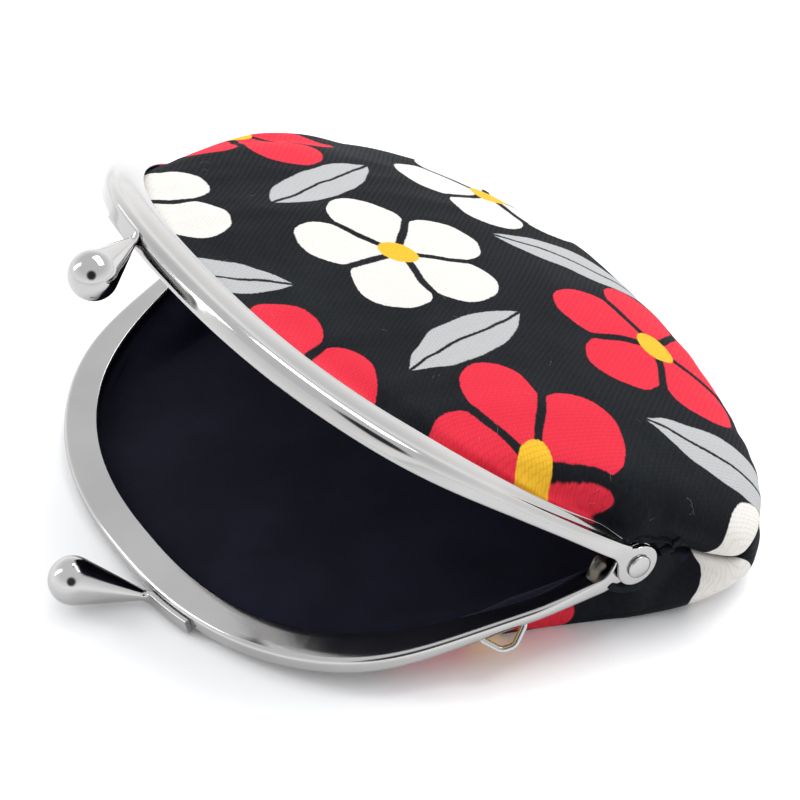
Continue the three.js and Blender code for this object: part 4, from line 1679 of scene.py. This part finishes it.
@dataclass
class Cover:
    """The printed cotton outside of one half of the pouch, puckered at the frame and at the seam."""

    pouch: PouchShape
    side: Side
    finish: bpy.types.Material
    steps_round: int = 300
    steps_across: int = 150
    seam_roll: float = 0.75  # radius of the cloth's turn into the seam
    pucker_height: float = 0.3
    pucker_reach: float = 0.16
    seam_pucker: float = 0.22
    dent_height: float = 0.55
    crease_height: float = 0.28
    cloth: float = 0.45

    def relief(self, places: np.ndarray, t: np.ndarray, curve: np.ndarray) -> np.ndarray:
        """Dents, creases and puckers of the cloth.

        Args:
            places: Not used.
            t: Shares of the way to the seam.
            curve: The panel's points.

        Returns:
            Heights in millimetres.
        """
        seed = 11.0 if self.side is Side.FRONT else 37.0
        round_way = np.cumsum(np.linalg.norm(np.diff(curve[:, 0], axis=0, prepend=curve[:1, 0]), axis=1))
        seam_way = np.cumsum(np.linalg.norm(np.diff(curve[:, -1], axis=0, prepend=curve[:1, -1]), axis=1))
        open_part = smoothstep(t, 0.02, 0.2) * (1.0 - smoothstep(t, 0.8, 1.0))
        dents = soft_noise(curve, 19.0, seed) * self.dent_height
        creases = (1.0 - np.abs(soft_noise(curve * np.array([1.0, 0.45, 1.0]), 9.0, seed + 5.0)) * 2.0) - 0.6
        crease_fade = smoothstep(soft_noise(curve, 30.0, seed + 9.0), -0.1, 0.35)
        height = (dents + creases * crease_fade * self.crease_height) * open_part[None, :]
        tucks = soft_noise(np.stack([round_way, 0 * round_way, 0 * round_way], axis=-1), 3.1, seed)[:, None]
        near_frame = np.exp(-t / self.pucker_reach)[None, :] * smoothstep(t, 0.0, 0.05)[None, :]
        height = height + tucks * near_frame * self.pucker_height * 2.0
        along_seam = np.stack([seam_way, 0 * seam_way, 0 * seam_way], axis=-1)
        pulls = soft_noise(along_seam, 3.6, seed + 3.0)[:, None]
        near_seam = np.exp(-(1.0 - t) / 0.12)[None, :]
        return height + pulls * near_seam * self.seam_pucker * 2.0

    def surface(self) -> Panel:
        """The cover's outer surface, with its edge rolled into the seam.

        Returns:
            The surface.
        """
        p = self.pouch
        places = 0.5 - 0.5 * np.cos(np.linspace(0.0, math.pi, self.steps_round))
        t = np.linspace(0.0, 1.0, self.steps_across)
        panel = p.panel(self.side, places, t, 0.0, 0.0, self.seam_roll, self.relief)
        panel = p.closed(panel, self.side, p.corner_inset)
        panel = Panel(p.round_hinge(panel.points), panel.flat, panel.outward)
        edge, before = panel.points[:, -1], panel.points[:, -2]
        way = unit(edge - before)
        inward = -panel.outward[:, -1]
        rows, flats = [], []
        for angle in np.radians([20, 40, 60, 80, 100, 120]):
            turn = way * math.sin(angle) + inward * (1.0 - math.cos(angle))
            rows.append(edge + turn * self.seam_roll)
            flat_way = unit(panel.flat[:, -1] - panel.flat[:, -2])
            flats.append(panel.flat[:, -1] + flat_way * angle * self.seam_roll)
        return Panel(
            np.concatenate([panel.points, np.stack(rows, axis=1)], axis=1),
            np.concatenate([panel.flat, np.stack(flats, axis=1)], axis=1),
            panel.outward,
        )

    def build(self) -> tuple[bpy.types.Object, Panel]:
        """Makes the cover and sets it in the purse.

        Returns:
            The piece, and its surface for what clings to it.
        """
        surface = self.surface()
        rows, columns = surface.points.shape[:2]
        faces = grid_faces(rows, columns, flip=self.side is Side.BACK)
        name = f"{self.side.label}_cover_cloth"
        piece = make_piece(name, surface.points, faces, self.finish, 180.0, surface.flat)
        thicken(piece, self.cloth)
        return set_in_purse(piece, Slot.PRINT, f"{self.side.label}_cover"), surface


@dataclass
class Lining:
    """The navy lining inside one half of the pouch, a little loose."""

    pouch: PouchShape
    side: Side
    finish: bpy.types.Material
    steps_round: int = 240
    steps_across: int = 110
    slack: float = 0.5
    start: float = 0.067  # place of the first row
    corner_inset: float = 2.6  # of its corner at the hinge from the inside of the back half's lug
    cloth: float = 0.35

    def relief(self, places: np.ndarray, t: np.ndarray, curve: np.ndarray) -> np.ndarray:
        """Soft waves of the lining: heights in millimetres at places and shares of the way to the seam.

        Args:
            places: Places round the pouch.
            t: Shares of the way to the seam.
            curve: The panel's points.

        Returns:
            Heights in millimetres.
        """
        seed = 53.0 if self.side is Side.FRONT else 71.0
        waves = soft_noise(curve, 16.0, seed) + 0.5 * soft_noise(curve, 7.0, seed + 4.0)
        open_part = smoothstep(t, 0.0, 0.15) * (1.0 - smoothstep(t, 0.85, 1.0))
        tucks = soft_noise(places[:, None, None] * np.array([60.0, 0.0, 0.0]) + 0.0 * curve[:, :1], 1.0, seed)
        near_frame = (np.exp(-t / 0.12) * smoothstep(t, 0.0, 0.06))[None, :]
        return (waves * open_part[None, :] - 0.3 * open_part[None, :]) * self.slack + tucks * near_frame * 0.4

    def build(self) -> bpy.types.Object:
        """Makes the lining and sets it in the purse.

        Returns:
            The piece.
        """
        p = self.pouch
        places = self.start + (0.5 - self.start) * (1.0 - np.cos(np.linspace(0.0, math.pi, self.steps_round)))
        t = np.linspace(0.0, 1.0, self.steps_across)
        depth = p.cover_thickness + p.cloth_gap + 0.6 * p.lining_thickness
        grip = p.edge_thickness + p.grip_gap + 0.4 * p.edge_thickness
        panel = p.panel(self.side, places, t, depth, grip, 0.0, self.relief)
        panel = p.closed(panel, self.side, self.corner_inset)
        rows, columns = panel.points.shape[:2]
        faces = grid_faces(rows, columns, flip=self.side is Side.FRONT)
        name = f"{self.side.label}_lining_cloth"
        piece = make_piece(name, panel.points, faces, self.finish, 180.0, panel.flat)
        thicken(piece, self.cloth)
        return set_in_purse(piece, Slot.LINING, f"{self.side.label}_lining")


def thicken(piece: bpy.types.Object, thickness: float) -> None:
    """Gives a cloth surface a thickness behind its face, in millimetres.

    Args:
        piece: The cloth surface.
        thickness: In millimetres.
    """
    solid = piece.modifiers.new("cloth_thickness", "SOLIDIFY")
    solid.thickness = thickness * MM
    solid.offset = -1.0


@dataclass
class Lint:
    """Loose fibres on the cover."""

    surface: Panel
    finish: bpy.types.Material
    count: int = 60
    shortest: float = 0.4
    longest: float = 1.6
    thickness: float = 0.011
    seed: int = 5

    def build(self) -> bpy.types.Object:
        """Lays the fibres on the cover.

        Returns:
            One curve object that holds them all.
        """
        chance = np.random.default_rng(self.seed)
        rows, columns = self.surface.outward.shape[:2]
        curve = bpy.data.curves.new("lint", "CURVE")
        curve.dimensions = "3D"
        curve.bevel_depth = self.thickness / 2.0 * MM
        curve.bevel_resolution = 0
        for _ in range(self.count):
            i = int(chance.integers(int(rows * 0.12), int(rows * 0.88)))
            j = int(chance.integers(8, columns - 12))
            normal = self.surface.outward[i, j]
            across = unit(self.surface.points[min(i + 1, rows - 1), j] - self.surface.points[i, j])
            third = np.cross(normal, across)
            heading = chance.uniform(0.0, 2.0 * math.pi)
            bend = chance.uniform(-1.3, 1.3)
            length = chance.uniform(self.shortest, self.longest)
            spline = curve.splines.new("POLY")
            spline.points.add(8)
            spot = self.surface.points[i, j] + normal * 0.03
            for k, point in enumerate(spline.points):
                lift = 0.05 + 0.12 * math.sin(math.pi * k / 8.0)
                point.co = (*((spot + normal * lift) * MM), 1.0)
                heading += bend / 8.0 + chance.normal(0.0, 0.12)
                spot = spot + (across * math.cos(heading) + third * math.sin(heading)) * length / 8.0
        curve.materials.append(self.finish)
        piece = bpy.data.objects.new("lint", curve)
        bpy.context.scene.collection.objects.link(piece)
        return set_in_purse(piece, Slot.PRINT)


@dataclass
class PhotoCamera:
    """A camera where the photograph was taken from, found from the hinge axis's middle."""

    hinge: tuple[float, float, float]
    azimuth: float = 59.47
    elevation: float = 39.26
    roll: float = -1.846
    distance: float = 371.27
    shift_right: float = 36.7  # pixels from the picture's middle to the hinge axis's middle
    shift_up: float = -31.5
    focal_pixels: float = 3082.0
    frame_pixels: float = 800.0
    sensor: float = 36.0

    def build(self) -> bpy.types.Object:
        """Makes the camera and hands it to the scene.

        Returns:
            The camera.
        """
        az, el, roll = (math.radians(a) for a in (self.azimuth, self.elevation, self.roll))
        back = Vector((math.sin(az) * math.cos(el), -math.cos(az) * math.cos(el), math.sin(el)))
        level = (-back).cross(Vector((0.0, 0.0, 1.0))).normalized()
        above = level.cross(-back)
        right = level * math.cos(roll) + above * math.sin(roll)
        up = above * math.cos(roll) - level * math.sin(roll)
        scale = self.distance / self.focal_pixels
        place = back * self.distance - right * (self.shift_right * scale) + up * (self.shift_up * scale)
        data = bpy.data.cameras.new("photo_camera")
        data.sensor_width = self.sensor
        data.lens = self.focal_pixels / self.frame_pixels * self.sensor
        data.clip_start = 0.01
        camera = bpy.data.objects.new("photo_camera", data)
        turn = Matrix((right, up, back)).transposed().to_4x4()
        camera.matrix_world = Matrix.Translation((place + Vector(self.hinge)) * MM) @ turn
        bpy.context.scene.collection.objects.link(camera)
        bpy.context.scene.camera = camera
        return camera


@dataclass(frozen=True)
class SoftLight:
    """A large soft lamp that points at the purse."""

    name: str
    place: tuple[float, float, float]  # metres
    size: tuple[float, float]  # metres
    watts: float
    colour: Colour = (1.0, 1.0, 1.0)

    def build(self) -> bpy.types.Object:
        """Makes the lamp.

        Returns:
            The lamp.
        """
        data = bpy.data.lights.new(self.name, "AREA")
        data.shape = "RECTANGLE"
        data.size, data.size_y = self.size
        data.energy = self.watts
        data.color = self.colour
        lamp = bpy.data.objects.new(self.name, data)
        lamp.location = self.place
        aim = Vector((0.0, 0.0, 0.02)) - Vector(self.place)
        lamp.rotation_euler = aim.to_track_quat("-Z", "Y").to_euler()
        bpy.context.scene.collection.objects.link(lamp)
        return lamp


@dataclass
class Studio:
    """A pale table under soft lamps, in a room that is bright low down and dimmer above."""

    floor_span: float = 6.0
    room_low: Colour = (1.0, 1.0, 1.0)
    room_high: Colour = (0.68, 0.69, 0.705)
    room_strength: float = 1.66
    dark_way: tuple[float, float, float] = (0.69, -0.43, 0.58)  # where the photographer stands
    dark_edge: tuple[float, float] = (0.9, 0.97)  # cosines of the dark patch's rim
    dark: Colour = (0.03, 0.031, 0.034)
    lamps: tuple[SoftLight, ...] = field(
        default_factory=lambda: (
            SoftLight("window", (-0.1, 0.55, 0.95), (0.9, 0.45), 9.0, (1.0, 0.995, 0.985)),
            SoftLight("strip", (-0.6, -0.65, 0.55), (0.2, 0.6), 2.2, (1.0, 1.0, 1.0)),
        )
    )

    def floor(self) -> bpy.types.Object:
        """The table, which isn't part of the purse.

        Returns:
            The floor.
        """
        half = self.floor_span / 2.0 / MM
        level = [(-half, -half), (half, -half), (half, half), (-half, half)]
        corners = np.array([[x, y, -0.02] for x, y in level])
        table = make_piece("table", corners, [(0, 1, 2, 3)], TablePaper().build())
        return table

    def room(self) -> None:
        """The light of the room."""
        world = bpy.data.worlds.new("room")
        world.use_nodes = True
        tree = world.node_tree
        tree.nodes.clear()
        output = tree.nodes.new("ShaderNodeOutputWorld")
        background = tree.nodes.new("ShaderNodeBackground")
        background.inputs["Strength"].default_value = self.room_strength
        place = tree.nodes.new("ShaderNodeTexCoord")
        parts = tree.nodes.new("ShaderNodeSeparateXYZ")
        ramp = tree.nodes.new("ShaderNodeValToRGB")
        low, high = ramp.color_ramp.elements
        low.position, low.color = 0.12, (*self.room_low, 1.0)
        high.position, high.color = 0.62, (*self.room_high, 1.0)
        tree.links.new(place.outputs["Generated"], parts.inputs[0])
        tree.links.new(parts.outputs["Z"], ramp.inputs["Fac"])
        facing = tree.nodes.new("ShaderNodeVectorMath")
        facing.operation = "DOT_PRODUCT"
        facing.inputs[1].default_value = Vector(self.dark_way).normalized()
        patch = tree.nodes.new("ShaderNodeMapRange")
        patch.interpolation_type = "SMOOTHSTEP"
        patch.inputs["From Min"].default_value, patch.inputs["From Max"].default_value = self.dark_edge
        darken = tree.nodes.new("ShaderNodeMix")
        darken.data_type = "RGBA"
        darken.inputs[7].default_value = (*self.dark, 1.0)
        tree.links.new(place.outputs["Generated"], facing.inputs[0])
        tree.links.new(facing.outputs["Value"], patch.inputs["Value"])
        tree.links.new(patch.outputs["Result"], darken.inputs[0])
        tree.links.new(ramp.outputs["Color"], darken.inputs[6])
        tree.links.new(darken.outputs[2], background.inputs["Color"])
        tree.links.new(background.outputs["Background"], output.inputs["Surface"])
        bpy.context.scene.world = world

    def build(self) -> None:
        """Makes the table, the room and the lamps."""
        self.floor()
        self.room()
        for lamp in self.lamps:
            lamp.build()
        bpy.context.scene.view_settings.view_transform = "Standard"


def hinge_middle() -> tuple[float, float, float]:
    """The middle of the hinge axis in the row frame, in millimetres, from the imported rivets.

    Returns:
        Its place in the row frame, in millimetres.
    """
    right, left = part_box("hinge_rivet_right"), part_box("hinge_rivet_left")
    x = (right[1][0] + left[0][0]) / 2.0
    y = (right[0][1] + right[1][1]) / 2.0
    z = (right[0][2] + right[1][2]) / 2.0
    return (x / MM, y / MM, z / MM)


def main() -> None:
    """Builds the purse over its CAD model, piece by piece."""
    logging.basicConfig(level=logging.INFO, format="%(name)s: %(message)s")
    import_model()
    hinge = hinge_middle()
    shape = FrameShape(hinge)
    pouch = PouchShape(shape)
    nickel = NickelPlate().build()
    clasp_nickel = NickelPlate("clasp_nickel", polish=0.06, dulled=0.13).build()
    rivet_nickel = NickelPlate("rivet_nickel", polish=0.16, dulled=0.3).build()
    cotton = PrintedCotton().build()
    navy = LiningCloth().build()
    for side in Side:
        for piece in FrameHalf(shape, side, nickel).build():
            log.info("made %s", piece.name)
        log.info("made %s", Clasp(shape, side, clasp_nickel).build().name)
        cover, surface = Cover(pouch, side, cotton).build()
        log.info("made %s", cover.name)
        log.info("made %s", Lining(pouch, side, navy).build().name)
        if side is Side.FRONT:
            log.info("made %s", Lint(surface, LintFibre().build()).build().name)
    for hand in (1, -1):
        log.info("made %s", HingeRivet(shape, hand, rivet_nickel).build().name)
        log.info("made %s", CordEnd(shape, hand, GluedCord().build()).build().name)
    Studio().build()
    PhotoCamera(hinge).build()


if __name__ == "__main__":
    main()
